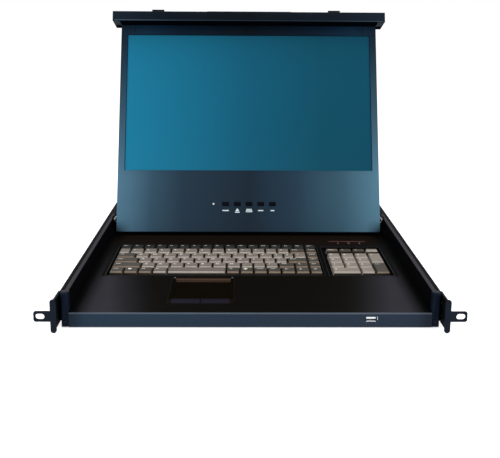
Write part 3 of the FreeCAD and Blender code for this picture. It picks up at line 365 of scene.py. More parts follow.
# A painted highlight along the front bar's upper edge.
upper_edge_highlight = (FRONT_NAVY.place()[2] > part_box("front_bar")[1].z - 0.0011) * 0.55
FRONT_NAVY.set(base_color=FRONT_NAVY.mix(upper_edge_highlight, FRONT_NAVY.tone, "5d6570"))
print("blue paints ready, half panel", round(half_panel, 4))

# %% [markdown]
# ## A map of the display
# The display leans back on its hinge, so a picture laid on its face needs the
# display's own across and up. Turning the coordinates by the same angle, with
# a Mapping node at the hinge, gives them. The same turn as a matrix places
# new pieces that are drawn upright.

# %% The display's own directions
LEAN = math.radians(18.8)
hinge = Vector(JOINTS["display_hinge"]["pos_m"])
HINGE_BEHIND, HINGE_UP = 0.0125, 0.0195
DISPLAY = (Matrix.Translation(hinge) @ Matrix.Rotation(-LEAN, 4, "X")
           @ Matrix.Translation((0, -HINGE_BEHIND, -HINGE_UP)))
UPRIGHT = DISPLAY.inverted()


def on_display(finish):
    """Across the display, back from its face and up from its lower edge, in metres."""
    moved = finish.node("VectorMath", {"operation": "SUBTRACT"}, {0: finish.whole(), 1: tuple(hinge)})
    turned = finish.node("Mapping", {}, {"Vector": moved, "Rotation": (LEAN, 0, 0)})
    across, back, up = [finish.node("SeparateXYZ", {}, {0: turned}, i) for i in range(3)]
    return across, back + HINGE_BEHIND, up + HINGE_UP


def faded(value):
    """The value, held between 0 and 1."""
    return value.finish.node("Clamp", {}, {"Value": value})


# Painted shade: the bezel darkens from just under the screen to its upper edge, and at its two lower corners.
DARK_FROM, BEZEL_TOP, CORNER_UP, CORNER_IN = 0.085, 0.324, 0.019, 0.022
DARKER_ABOVE = [(0.0, 0.0), (0.063, 0.12), (0.105, 0.2), (0.305, 0.48), (0.504, 0.70), (0.703, 0.86),
                (0.87, 0.97)]
SEAM_AT, SEAM_HALF, SEAM_LOW, SEAM_HIGH = 0.1797, 0.0008, 0.3130, 0.3215
across, back, up = on_display(BEZEL_BLUE)
above = BEZEL_BLUE.ramp((up - DARK_FROM) / (BEZEL_TOP - DARK_FROM), *[(p, (v, v, v, 1)) for p, v in DARKER_ABOVE])
shade_stops = [(0.0, "040e17"), (0.55, "08192a"), (0.8, "0d263c"), (0.93, "0e2234"), (1.0, "101d2b")]
shade = BEZEL_BLUE.ramp(across.size() / half_panel, *shade_stops)
low_part = faded((CORNER_UP - up) / CORNER_UP)
end_part = faded((across.size() - (half_panel - CORNER_IN)) / CORNER_IN)
tone = BEZEL_BLUE.mix(above, BEZEL_BLUE.tone, shade)
tone = BEZEL_BLUE.mix(low_part * (end_part * 0.9 + 0.08), tone, "060c12")
seam = ((across.size() - SEAM_AT).size() < SEAM_HALF) * (up > SEAM_LOW) * (up < SEAM_HIGH) * 0.6
BEZEL_BLUE.set(base_color=BEZEL_BLUE.mix(seam, tone, "060a14"))
print("lower edge of the display at", tuple(round(v, 4) for v in DISPLAY @ Vector((0, 0, 0))))

# %% [markdown]
# ## The screen
# A switched-off panel is a dark blue-green glass over a black rim. The rim is
# where the picture ends, a few millimetres inside the frame. The glass is
# smooth, with a faint film of dust that only the roughness shows.

# %% Screen glass
SCREEN_LOW, SCREEN_HIGH, SCREEN_RIM = 0.094, 0.309, 0.0008
SCREEN_HALF = half_panel - 0.010
SCREEN = Finish("screen_glass", specular_ior_level=0.03)
across, back, up = on_display(SCREEN)
# The glass is lighter at the left than at the right, and blends towards one deeper blue upwards.
glass_stops = [(0.0, "1a7495"), (0.25, "166785"), (0.5, "12556f"), (0.8, "0e485c"), (1.0, "0d455a")]
side_tone = SCREEN.ramp((across + SCREEN_HALF) / (2 * SCREEN_HALF), *glass_stops)
height = (up - SCREEN_LOW) / (SCREEN_HIGH - SCREEN_LOW)
toned = SCREEN.mix(height * 0.25, side_tone, "134a60")
inside = (across.size() < SCREEN_HALF - SCREEN_RIM) * (height < 0.997) * (height > 0.001)
dust = SCREEN.grain(220, detail=5.0)
SCREEN.set(base_color=SCREEN.mix(inside, "0b2231", toned), roughness=0.12 + dust * 0.12)
print("screen", round(2 * SCREEN_HALF, 3), "by", round(SCREEN_HIGH - SCREEN_LOW, 3))

# %% [markdown]
# ## Keyboard plastics
# Key caps are moulded with a fine spark texture. The light caps are a warm
# grey, a little yellower at some keys than at others, and the middle of each
# cap is polished by fingers, which a wide noise suggests.

# %% Key plastics
def plastic(name, dark, light, rough=0.5, shine=0.25, spark=0.00002, patch=30):
    finish = Finish(name, specular_ior_level=shine)
    wide = finish.grain(patch, detail=3.0)
    fine = finish.grain(2600)
    finish.tone = finish.mix(wide * 0.7 + fine * 0.3, dark, light)
    return finish.set(base_color=finish.tone,
                      roughness=rough + (wide - 0.5) * 0.14 + (fine - 0.5) * 0.12,
                      normal=finish.bump(fine, spark))


KEY_LIGHT = plastic("key_light", "665e57", "887e75", 0.5, 0.12)
# Lighter copies of the cap plastics for the caps' front faces: painted highlights where the front light falls.
KEY_LIGHT_LIT_FRONT = plastic("key_light_lit_front", "a39a91", "c2b9b0", 0.42, 0.15)
KEY_DARK_LIT_FRONT = plastic("key_dark_lit_front", "7b6b5c", "978472", 0.42, 0.12)
KEY_DARK = plastic("key_dark", "443b33", "5e5349", 0.5, 0.1)
TOUCH_GREY = plastic("touch_grey", "0e0b08", "15110d", 0.5, 0.01)
TOUCH_PAD = plastic("touch_pad", "0b0805", "110d08", 0.5, 0.0)
TOUCH_BUTTON = plastic("touch_button", "17131b", "1f1a26", 0.4, 0.04)
RIDGE_GREY = plastic("ridge_grey", "090906", "0f0e0b", 0.5, 0.0)
# A painted reflection: the lighter brown of the touchpad's sloped lip.
BEVEL_SHEEN = plastic("bevel_sheen", "3a2a20", "4b382b", 0.4, 0.05)
SOCKET_BLACK = plastic("socket_black", "0d0d0f", "17171a", 0.45, 0.2)
GRIP_RUBBER = plastic("grip_rubber", "090d12", "10161d", 0.6, 0.03, 0.00004)
LENS = plastic("lens_clear", "6a5850", "88746a", 0.2, 0.2)
INK_WHITE = plastic("ink_white", "d9d6d0", "f0ede7", 0.6, 0.1)
INK_COOL = plastic("ink_cool", "cbd9e2", "e2ecf2", 0.6, 0.1)
STATUS_WHITE = plastic("status_white", "d8e6f0", "eef6fb", 0.25, 0.2)
# A painted highlight: the grey of the two touchpad studs.
STUD_HIGHLIGHT = plastic("stud_highlight", "57534f", "6b6661", 0.4, 0.1)
INK_RED = plastic("ink_red", "523530", "6c4a43", 0.6, 0.05)
LIP_STEEL = plastic("lip_steel", "1c1d1f", "2a2b2e", 0.4, 0.05)
FUNCTION_ROW, LEFT_GROUP = 0.2335, -0.12
x, y, z = KEY_DARK.place()
fleck = KEY_DARK.grain(30, detail=3.0)
warm, pale, slate = [KEY_DARK.mix(fleck, dark, light)
                     for dark, light in (("3b3731", "504a43"), ("403b36", "554f49"), ("1e1f1e", "2b2b28"))]
KEY_DARK.set(base_color=KEY_DARK.mix(y > FUNCTION_ROW, KEY_DARK.mix(x < LEFT_GROUP, warm, pale), slate))
print("plastics ready")

# %% [markdown]
# ## The deck
# The keyboard deck is black powder coat. Its tone carries a painted sheen
# towards its front corners, wider towards the front, and painted shade that
# falls back to black beside the walls; it is also a little lighter towards
# the back. Each fade is a distance, divided by the width that it fades over.

# %% Deck paint
DECK_LOW, DECK_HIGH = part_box("deck_cover")
SHEEN_FROM, SHEEN_FADE, SHEEN_SPREAD, SHEEN_AT = 0.116, 0.062, 0.17, 0.115
SHEEN_BACK, SHEEN_DEPTH, BROWN_FROM, BROWN_FADE = 0.24, 0.10, 0.235, 0.03
WALL_SHADE, WALL_SHADE_FADE = 0.008, 0.017
DECK_BLACK = Finish("deck_black", specular_ior_level=0.015)
x, y, z = DECK_BLACK.place()
# Painted sheen at the front corners, and painted shade beside the walls.
corner = faded((x.size() - SHEEN_FROM + (SHEEN_AT - y) * SHEEN_SPREAD) / SHEEN_FADE)
front = faded((SHEEN_BACK - y) / SHEEN_DEPTH)
clear_of_wall_shade = faded((DECK_HIGH.x - WALL_SHADE - x.size()) / WALL_SHADE_FADE)
sheen = corner * corner * front
fine = DECK_BLACK.grain(1700)
wide = DECK_BLACK.grain(12, detail=4.0)
plain = DECK_BLACK.mix(faded((y - BROWN_FROM) / BROWN_FADE), "0c0906", "140e0a")
tone = DECK_BLACK.mix(sheen * (0.7 + wide * 0.6), plain, "2c2b31")
deck_tone = DECK_BLACK.mix(clear_of_wall_shade, "030303", tone)
DECK_BLACK.set(base_color=deck_tone, roughness=0.5 + (fine - 0.5) * 0.2 + (wide - 0.5) * 0.1,
               normal=DECK_BLACK.bump(fine, 0.00002))
print("deck from", tuple(round(v, 3) for v in DECK_LOW), "to", tuple(round(v, 3) for v in DECK_HIGH))

# %% [markdown]
# ## Circuit boards
# A board is green lacquer over copper tracks. A grid of thin lines, broken up
# by a noise, reads as tracks at this size, and small bright squares as pads.

# %% Board lacquer
BOARD_GREEN = Finish("board_green", specular_ior_level=0.4)
cells = BOARD_GREEN.node("TexBrick", {"offset": 0.5}, {
    "Vector": BOARD_GREEN.whole(), "Scale": 90.0, "Mortar Size": 0.03, "Color1": "0f4a2c",
    "Color2": "12532f", "Mortar": "2f7d4a"})
pads = BOARD_GREEN.node("TexVoronoi", {"feature": "F1"}, {"Vector": BOARD_GREEN.whole(), "Scale": 160.0})
BOARD_GREEN.set(base_color=BOARD_GREEN.mix(pads < 0.16, cells, "b89b58"),
                roughness=0.3 + BOARD_GREEN.grain(400) * 0.2, normal=BOARD_GREEN.bump(pads, 0.00005))
print("board lacquer ready")

# %% [markdown]
# ## Dressing the parts that stay as they are
# Every node of the frame names a finish in its record. Where the solid already
# has the right shape, its material slot is given the finish made above.

# %% Finishes for the nodes
FINISH = dict(bracket_black=BRACKET_BLACK, slide_steel=SLIDE_STEEL, ball_cage=BALL_CAGE,
              screw_steel=SCREW_STEEL, black_screw=BLACK_SCREW, chassis_black=CHASSIS_BLACK,
              front_navy=FRONT_NAVY, post_black=POST_BLACK, deck_black=DECK_BLACK, key_light=KEY_LIGHT,
              key_dark=KEY_DARK, key_base=KEY_BASE, lens_clear=LENS, touch_grey=TOUCH_GREY,
              board_green=BOARD_GREEN, socket_metal=SOCKET_METAL, socket_black=SOCKET_BLACK,
              bezel_blue=BEZEL_BLUE, lcd_shell=LCD_SHELL, screen=SCREEN, bar_navy=BAR_NAVY,
              washer_steel=WASHER_STEEL, hinge_steel=HINGE_STEEL, button_black=BUTTON_BLACK)
BODY = {node: body for body, nodes in frame["record"]["behaviour"]["bodies"].items() for node in nodes}
SLOT = {part["node"]: part["material_slot"] for part in frame["record"]["subparts"]}
OWN = {"outer_rail_left": RAIL_BLACK, "outer_rail_right": RAIL_BLACK, "hinge_brackets": RAIL_BLACK,
       "status_lens": STATUS_WHITE, "touchpad_pad": TOUCH_PAD, "touchpad_button_left": TOUCH_BUTTON,
       "touchpad_button_right": TOUCH_BUTTON, "handle_grip": GRIP_RUBBER}


def finish_of(node):
    """The finish of a node: its own, or the one of its slot."""
    return OWN.get(node, FINISH[SLOT[node]])


for node, solid in NODES.items():
    for place in solid.material_slots:
        place.material = finish_of(node).material
    if not solid.material_slots:
        solid.data.materials.append(finish_of(node).material)
print("dressed", len(NODES), "nodes in", len(set(SLOT.values())), "finishes")

# %% [markdown]
# ## A copy that can be shaped
# The frame's meshes are loose triangles and stay untouched. A copy is welded,
# and its flat faces are made whole, so that an edge is an edge again and can
# be bevelled. Real sheet and castings never have a razor edge: the small
# bevel is what catches the light.

# %% Copy, soften and finish
def welded(node):
    """A bmesh copy of a node, with its triangles joined and its flats made whole."""
    bm = bmesh.new()
    bm.from_mesh(NODES[node].data)
    bmesh.ops.remove_doubles(bm, verts=bm.verts, dist=3e-6)
    bmesh.ops.dissolve_limit(bm, angle_limit=math.radians(0.6), verts=bm.verts, edges=bm.edges)
    return bm


def bevel(bm, edges, width, segments=2):
    """Round some edges off by a width, and say how many there are."""
    bmesh.ops.bevel(bm, geom=edges, offset=width, offset_type="OFFSET", segments=segments, profile=0.5,
                    affect="EDGES", clamp_overlap=True, material=-1)
    return len(edges)


def soften(bm, width, segments=2):
    """Round every edge where two faces turn by more than 35 degrees."""
    edges = [e for e in bm.edges if e.is_manifold and e.calc_face_angle() > math.radians(35)]
    return bevel(bm, edges, width, segments)


def made(bm, name, body, finish, slot, instead_of=(), smooth=32):
    """The bmesh as a piece of the object, riding its body."""
    piece = placed(bm, name, finish)
    piece.data.polygons.foreach_set("use_smooth", [True] * len(piece.data.polygons))
    piece.data.set_sharp_from_angle(angle=math.radians(smooth))
    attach(piece, body)
    if instead_of:
        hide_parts(*instead_of)
    return piece


def softened(node, width):
    """Replace a node by its copy with bevelled edges."""
    bm = welded(node)
    count = soften(bm, width)
    made(bm, node + "_soft", BODY[node], finish_of(node), SLOT[node], [node], 40)
    return count


def span(points):
    """The lowest and highest corner of some points."""
    return [Vector([end(p[i] for p in points) for i in range(3)]) for end in (min, max)]


for node, width in (("ear_bracket_left", 0.0004), ("ear_bracket_right", 0.0004), ("rear_brackets", 0.0004),
                    ("front_bar", 0.0005), ("end_post_left", 0.0005), ("end_post_right", 0.0005),
                    ("handle_bar", 0.0007), ("bar_end_caps", 0.0004), ("handle_grip", 0.0005),
                    ("hinge_brackets", 0.0004), ("usb_port", 0.00012)):
    print(node, "edges softened", softened(node, width))

# %% [markdown]
# ## Under the handle bar
# The camera sees the bar's underside at a very flat angle, where even a dark
# paint mirrors the white room. Three thin sheets, laid under it, carry painted
# light and shade that mirror nothing: painted shade, nearly black, behind the
# bezel's edge, and painted light, a lighter grey, at the two open ends, which
# darkens to painted shade towards the back.

# %% Painted light and shade under the bar
BAR_UNDER_SHADE = Finish("bar_under", specular_ior_level=0.0)
across, back, up = on_display(BAR_UNDER_SHADE)
cloud = BAR_UNDER_SHADE.grain(60, detail=3.0)
# Painted light at the open ends, fading to painted shade towards the back; painted shade behind the bezel's edge.
lit_end_tone = BAR_UNDER_SHADE.mix(faded((back + 0.004) / 0.005),
                         BAR_UNDER_SHADE.mix(cloud, "3a4149", "474e57"), "06070a")
BAR_UNDER_SHADE.set(base_color=BAR_UNDER_SHADE.mix(across.size() > half_panel + 0.0005, "04070d", lit_end_tone),
              roughness=0.5 + (cloud - 0.5) * 0.1)
bar_low, bar_high = span([UPRIGHT @ vertex.co for vertex in NODES["handle_bar"].data.vertices])
GAP, FRONT_INSET, BACK_INSET, UNDER = 0.0004, 0.0008, 0.001, 0.00006
y0, open_back = bar_low.y + FRONT_INSET, bar_high.y - BACK_INSET
bm = bmesh.new()
for x0, x1, y1 in ((-half_panel, half_panel, -0.0003), (bar_low.x - GAP, -half_panel - GAP, open_back),
                   (half_panel + GAP, bar_high.x + GAP, open_back)):
    place = DISPLAY @ Matrix.Translation(((x0 + x1) / 2, (y0 + y1) / 2, bar_low.z - UNDER))
    sheet(bm, place @ Matrix.Rotation(math.pi, 4, "X"), (x1 - x0) / 2, (y1 - y0) / 2)
made(bm, "bar_underside_shade", "lcd", BAR_UNDER_SHADE, "bar_navy")
print("bar from", [round(v, 4) for v in bar_low], "to", [round(v, 4) for v in bar_high])

# %% [markdown]
# ## Key caps
# A cap is a sloped block with rounded edges and a shallow dish for the
# fingertip. The dish is one inset of the top face, pushed down a third of a
# millimetre and shaded smooth. Each sprung key is its own piece, because it
# moves; the others are moulded in two pieces, one for each plastic. The upper
# part of every cap's front face takes a lighter copy of its plastic, a painted
# highlight where the front light falls.

# %% Dished key caps
KEY_NODES = ("light_keys", "dark_keys", "space_key", "enter_key", "backspace_key", "left_shift_key",
             "right_shift_key", "keypad_zero_key", "keypad_enter_key")
KEY_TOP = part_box("light_keys")[1].z
DISH, DISH_RIM, CAP_ROUND, LIT_FRONT_DEPTH, NEAR = 0.00035, 0.0013, 0.0006, 0.0045, 1e-5


def islands(bm):
    """The separate solids in a bmesh, each as a list of its vertices."""
    left, found = set(bm.verts), []
    for start in bm.verts:
        if start in left:
            left.remove(start)
            group = [start]
            for vertex in group:
                near = [edge.other_vert(vertex) for edge in vertex.link_edges]
                group += [other for other in near if other in left]
                left.difference_update(near)
            found.append(group)
    return found


CAPS = []
for node in KEY_NODES:
    bm = welded(node)
    for group in islands(bm):
        CAPS.append((node, *span([v.co for v in group if abs(v.co.z - KEY_TOP) < NEAR])))
    rim = [e for e in bm.edges if min(v.co.z for v in e.verts) > KEY_TOP - NEAR]
    slants = [e for e in bm.edges if e.is_manifold and abs(e.verts[0].co.z - e.verts[1].co.z) > 0.004
              and max(v.co.z for v in e.verts) > KEY_TOP - NEAR]
    bevel(bm, rim + slants, CAP_ROUND)
    flats = [f for f in bm.faces if f.normal.z > 0.999 and f.calc_center_median().z > KEY_TOP - NEAR]
    bmesh.ops.inset_individual(bm, faces=flats, thickness=DISH_RIM, depth=-DISH, use_even_offset=True)
    # The upper front faces take the lighter copy, a painted highlight.
    for face in bm.faces:
        face.material_index = int(face.normal.y < -0.5 and face.calc_center_median().z > KEY_TOP - LIT_FRONT_DEPTH)
    caps = made(bm, node + "_caps", BODY[node], finish_of(node), SLOT[node], [node], 34)
    caps.data.materials.append((KEY_LIGHT_LIT_FRONT if SLOT[node] == "key_light" else KEY_DARK_LIT_FRONT).material)
print("caps", len(CAPS))

# %% [markdown]
# ## Shades of the keys
# The caps aren't all of one tone. Three caps at the back of the keypad and the
# fronts of the function row are darker, the front row is a shade deeper and
# the keypad a shade lighter. Each is a mix, chosen by where a cap stands, and
# every front face fades to nearly black at its foot, as painted shade.

# %% Tones by place
FRONT_ROW, TOP_ROW, FOOT_SHADE_FROM, FOOT_SHADE_OVER, CAP_GAP = 0.157, 0.220, 0.0015, 0.0012, 0.003
pad_left = max(low.x for node, low, high in CAPS if node == "keypad_zero_key") - 0.004
top_row = [c for c in CAPS if c[1].x > pad_left and c[1].y > TOP_ROW]
num_low, num_high = min(top_row, key=lambda c: c[1].x)[1:]
for finish, dark in ((KEY_LIGHT, "3b332c"), (KEY_LIGHT_LIT_FRONT, "4a3e33"), (KEY_DARK_LIT_FRONT, "4a3e30")):
    x, y, z = finish.place()
    behind = (y > num_low.y - CAP_GAP) * (x > num_low.x - CAP_GAP)
    if finish is not KEY_DARK_LIT_FRONT:
        behind = behind * (x < num_high.x + CAP_GAP / 2)
    tone = finish.mix(behind, finish.tone, dark)
    if finish is KEY_DARK_LIT_FRONT:
        tone = finish.mix(y > FUNCTION_ROW, tone, "2b2825")
    if finish is KEY_LIGHT:
        tone = finish.mix((x > pad_left) * 0.3, tone, "a69c90")
        tone = finish.mix((y < FRONT_ROW) * (x < pad_left) * 0.35, tone, "5a544e")
    else:
        # Painted shade: the front faces darken to nearly black towards their foot.
        tone = finish.mix(faded((KEY_TOP - FOOT_SHADE_FROM - z) / FOOT_SHADE_OVER), tone, "171310")
    finish.set(base_color=tone)
print("top row of the keypad", len(top_row))

# %% [markdown]
# ## Legends
# The printed letters stand in the upper left of each cap. Blender's text
# object draws them; it becomes a mesh before it is moved, so that the mesh
# itself holds its place. The caps are sorted into rows by where they stand,
# and each row's legends are read off a list from left to right.

# %% Letters on the keys
ROWS = (
    (0.1481, "Ctrl|◆|Alt|Fn| |Alt|◆|Menu|Ctrl|←|↓|→"),
    (0.1671, "Shift|Z|X|C|V|B|N|M|,|.|/|Shift|↑|End"),
    (0.1861, "Caps|A|S|D|F|G|H|J|K|L|;|'|Enter|PgDn"),
    (0.2051, "Tab|Q|W|E|R|T|Y|U|I|O|P|[|]|\\|PgUp"),
    (0.2241, "`|1|2|3|4|5|6|7|8|9|0|-|=|Bksp|Home"),
    (0.2424, "Esc|F1|F2|F3|F4|F5|F6|F7|F8|F9|F10|F11|F12|Prt|Scr|Brk|Del"))
PAD_ROWS = ((0.1481, "0|."), (0.1671, "1|2|3"), (0.1861, "4|5|6"), (0.2051, "7|8|9"), (0.2284, "Num|/|*|-"))
LETTER, WORD, CAPITAL = 0.0060, 0.0037, 0.72
MARGIN, DOWN, ABOVE = 0.0023, 0.0021, 0.00004
TEXT, INKS = {}, {}


def letters(word, size):
    """A word as a flat mesh lying on the floor plane, its lower left corner at the origin."""
    if (word, size) not in TEXT:
        curve = bpy.data.curves.new("word", "FONT")
        curve.body, curve.size, curve.resolution_u, curve.offset = word, size, 1, size * 0.02
        holder = bpy.data.objects.new("word", curve)
        scene.collection.objects.link(holder)
        bpy.context.view_layer.update()
        TEXT[word, size] = bpy.data.meshes.new_from_object(holder)
        bpy.data.objects.remove(holder)
    return TEXT[word, size]


def write(bm, word, size, place):
    """Add a word to a bmesh at a place, which is a matrix."""
    copy = letters(word, size).copy()
    copy.transform(place)
    bm.from_mesh(copy)
    bpy.data.meshes.remove(copy)


def legend(cap, word, size, down=DOWN):
    """Write a word in the upper left of a cap, with the other legends of its body."""
    node, low, high = cap
    if BODY[node] not in INKS:
        INKS[BODY[node]] = bmesh.new()
    corner = (low.x + MARGIN, high.y - down - size * CAPITAL, KEY_TOP - DISH + ABOVE)
    write(INKS[BODY[node]], word, size, Matrix.Translation(corner))


for rows, at_pad in ((ROWS, False), (PAD_ROWS, True)):
    for row_y, words in rows:
        row = sorted((c for c in CAPS if (c[1].x > pad_left) == at_pad
                      and abs((c[1].y + c[2].y) / 2 - row_y) < 0.003), key=lambda c: c[1].x)
        for cap, word in zip(row, words.split("|")):
            if word != " ":
                legend(cap, word, LETTER if len(word) == 1 else WORD)
for cap in CAPS:
    if cap[0] == "keypad_enter_key":
        legend(cap, "Enter", 0.0029, 0.0024)
    elif cap[0] == "light_keys" and cap[2].y - cap[1].y > 0.03:
        legend(cap, "+", 0.0050, 0.0024)
for body, bm in INKS.items():
    made(bm, body + "_legends", body, INK_WHITE, "key_light")

# %% [markdown]
# ## Screws
# A screw head is a short drum with a rounded rim and a cross recess. The rim
# comes from a bevel, the cross from a grid of three by three whose corners
# are deleted, bridged to the drum's ring and pushed down. One maker draws a
# head upright, and a matrix turns it to where each solid screw stands. The
# axis of a screw is the one with the most corners at both of its ends.

# %% Heads with a cross recess
SHANK_R = 0.00145


def screw_head(radius, height, place, bm):
    """A pan head standing on the plane z = 0, turned to its place."""
    new = bmesh.new()
    bmesh.ops.create_cone(new, cap_ends=True, segments=20, radius1=radius, radius2=radius, depth=height)
    bmesh.ops.translate(new, verts=new.verts, vec=(0, 0, height / 2))
    rim = [e for e in new.edges if all(v.co.z > height * 0.9 for v in e.verts)]
    bevel(new, rim, min(height, radius) * 0.42, 3)
    lid = max((f for f in new.faces if f.normal.z > 0.99), key=lambda f: f.calc_center_median().z)
    ring = list(lid.edges)
    bmesh.ops.delete(new, geom=[lid], context="FACES_ONLY")
    cross = bmesh.ops.create_grid(new, x_segments=3, y_segments=3, size=radius * 0.5,
                                  matrix=Matrix.Translation((0, 0, height)))["verts"]
    for vertex in cross:
        for i in (0, 1):
            if abs(vertex.co[i]) < radius * 0.3:
                vertex.co[i] *= 0.5
    faces = list(dict.fromkeys(f for v in cross for f in v.link_faces))
    corners = [f for f in faces if min(abs(c) for c in f.calc_center_median()[:2]) > radius * 0.1]
    bmesh.ops.delete(new, geom=corners, context="FACES")
    left = [f for f in faces if f.is_valid]
    outline = [e for e in dict.fromkeys(e for f in left for e in f.edges) if e.is_boundary]
    bmesh.ops.bridge_loops(new, edges=ring + outline)
    pushed = bmesh.ops.extrude_face_region(new, geom=left)["geom"]
    bmesh.ops.delete(new, geom=left, context="FACES_ONLY")
    bmesh.ops.translate(new, verts=[v for v in pushed if isinstance(v, bmesh.types.BMVert)],
                        vec=(0, 0, -height * 0.55))
    bmesh.ops.recalc_face_normals(new, faces=new.faces)
    new.transform(place)
    mesh = bpy.data.meshes.new("head")
    new.to_mesh(mesh)
    new.free()
    bm.from_mesh(mesh)
    bpy.data.meshes.remove(mesh)


def screws_of(node, upright=Matrix()):
    """Replace each solid screw of a node by a detailed head and its shank."""
    source, bm = welded(node), bmesh.new()
    source.transform(upright)
    groups = islands(source)
    for group in groups:
        low, high = span([v.co for v in group])
        middle = (low + high) / 2
        at_ends = [[[v.co for v in group if abs(v.co[i] - end[i]) < NEAR] for end in (low, high)]
                   for i in range(3)]
        axis = max(range(3), key=lambda i: min(len(points) for points in at_ends[i]))
        side = 1 if axis == 0 else 0
        radius = (high - low)[side] / 2
        reach = [max((point - middle)[side] for point in points) for points in at_ends[axis]]
        rim = [v.co[axis] for v in group if abs(abs((v.co - middle)[side]) - radius) < NEAR]
        outward = 1 if reach[1] > reach[0] else -1
        seat, tip = (min(rim), low[axis]) if outward > 0 else (max(rim), high[axis])
        foot, out = middle.copy(), Vector((0, 0, 0))
        foot[axis], out[axis] = seat, outward
        place = Matrix.Translation(foot) @ out.to_track_quat("Z", "Y").to_matrix().to_4x4()
        screw_head(radius, max(rim) - min(rim), upright.inverted() @ place, bm)
        shank = Matrix.Translation(out * -abs(seat - tip) / 2) @ place
        bmesh.ops.create_cone(bm, cap_ends=True, segments=10, radius1=SHANK_R, radius2=SHANK_R,
                              depth=abs(seat - tip), matrix=upright.inverted() @ shank)
    source.free()
    made(bm, node + "_heads", BODY[node], finish_of(node), SLOT[node], [node])
    return len(groups)


for node, upright in (("rail_screws", Matrix()), ("drawer_screws", Matrix()), ("lcd_screws", UPRIGHT)):
    print(node, "heads", screws_of(node, upright))

# %% [markdown]
# ## Caps on the hinge pins
# Each hinge pin ends in a dark domed cap, held by a bright wire clip bent over
# it. The dome is half a squashed ball; the clip is a ring of discs carried
# along half an ellipse and joined by a skin of quads.

# %% Domed caps and their clips
hinge_low, hinge_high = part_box("hinge_washers")
DOME_SEAT, DOME_OUT = hinge_high.x - 0.0040, 0.0026
DOME_R = (hinge_high.z - hinge_low.z) / 2 - 0.0006
CLIP_R, CLIP_STEPS, CLIP_SIDES, CLIP_TURN = 0.0007, 14, 8, 84
domes, clips = bmesh.new(), bmesh.new()
for side in (1, -1):
    place = Matrix.Translation((side * DOME_SEAT, hinge.y, hinge.z)) @ Matrix.Diagonal((side, 1, 1, 1))
    bmesh.ops.create_uvsphere(domes, u_segments=20, v_segments=12, radius=1,
                              matrix=place @ Matrix.Diagonal((DOME_OUT, DOME_R, DOME_R, 1)))
    rings = []
    for i in range(CLIP_STEPS + 1):
        turn = math.radians(CLIP_TURN * (2 * i / CLIP_STEPS - 1))
        out = Vector((math.cos(turn) / DOME_OUT, 0, math.sin(turn) / DOME_R)).normalized()
        centre = Vector(((DOME_OUT + CLIP_R * 0.6) * math.cos(turn), -0.0008,
                         (DOME_R + CLIP_R * 0.2) * math.sin(turn)))
        angles = [2 * math.pi * j / CLIP_SIDES for j in range(CLIP_SIDES)]
        disc = [centre + CLIP_R * (math.cos(a) * out + math.sin(a) * Vector((0, 1, 0))) for a in angles]
        rings.append([clips.verts.new(place @ point) for point in disc])
    for low_ring, high_ring in zip(rings, rings[1:]):
        for j in range(CLIP_SIDES):
            clips.faces.new((low_ring[j - 1], low_ring[j], high_ring[j], high_ring[j - 1]))
    for ring in (rings[0], rings[-1]):
        clips.faces.new(ring)
inner = [v for v in domes.verts if abs(v.co.x) < DOME_SEAT - 1e-6]
bmesh.ops.delete(domes, geom=inner, context="VERTS")
bmesh.ops.holes_fill(domes, edges=[e for e in domes.edges if e.is_boundary])
for bm in (domes, clips):
    bmesh.ops.recalc_face_normals(bm, faces=bm.faces)
made(domes, "hinge_domes", "lcd", BUTTON_BLACK, "washer_steel", ["hinge_washers"], smooth=50)
made(clips, "hinge_clips", "lcd", WASHER_STEEL, "washer_steel", smooth=60)
print("hinge caps", round(DOME_R, 4), "in radius")

# %% [markdown]
# ## Balls and cages
# The slides run on steel balls held in bent cages. The solid balls are cubes
# with their corners off, to keep the frame light; here each becomes a real
# ball at the same centre, and its cage keeps its shape with soft edges.

# %% Steel balls
for node in ("outer_ball_cages", "inner_ball_cages"):
    bm, balls = welded(node), bmesh.new()
    solids = [(group, *span([v.co for v in group])) for group in islands(bm)]
    small = [(group, low, high) for group, low, high in solids if (high - low).length < 0.01]
    for group, low, high in small:
        bmesh.ops.create_icosphere(balls, subdivisions=3, radius=(high.x - low.x) / 2,
                                   matrix=Matrix.Translation((low + high) / 2))
    bmesh.ops.delete(bm, geom=[v for group, low, high in small for v in group], context="VERTS")
    soften(bm, 0.00015, 1)
    made(bm, node + "_strips", BODY[node], BALL_CAGE, "ball_cage", [node])
    made(balls, node + "_balls", BODY[node], BALL_STEEL, "ball_cage", smooth=80)
    print(node, "balls", len(small))

# %% [markdown]
# ## The touchpad
# The pad lies a little below its frame, between two raised ridges, and the
# back of the recess is a sloped lip whose light brown is a painted reflection
# of the light it catches. The grey of the two studs at the back corners is a
# painted highlight. Bars like these are drawn as a box with its edges
# rounded; the lip's front edge is then drawn down to the pad.

# %% Ridges, lip and studs
def block(bm, low, high):
    """Add a plain box between two corners."""
    low, high = Vector(low), Vector(high)
    bmesh.ops.create_cube(bm, size=1, matrix=Matrix.Translation((low + high) / 2)
                          @ Matrix.Diagonal((*(high - low), 1)))


def strip(low, high, width=0.0004):
    """A new bmesh with a slim bar between two corners, its edges rounded."""
    bm = bmesh.new()
    block(bm, low, high)
    bevel(bm, list(bm.edges), width)
    return bm


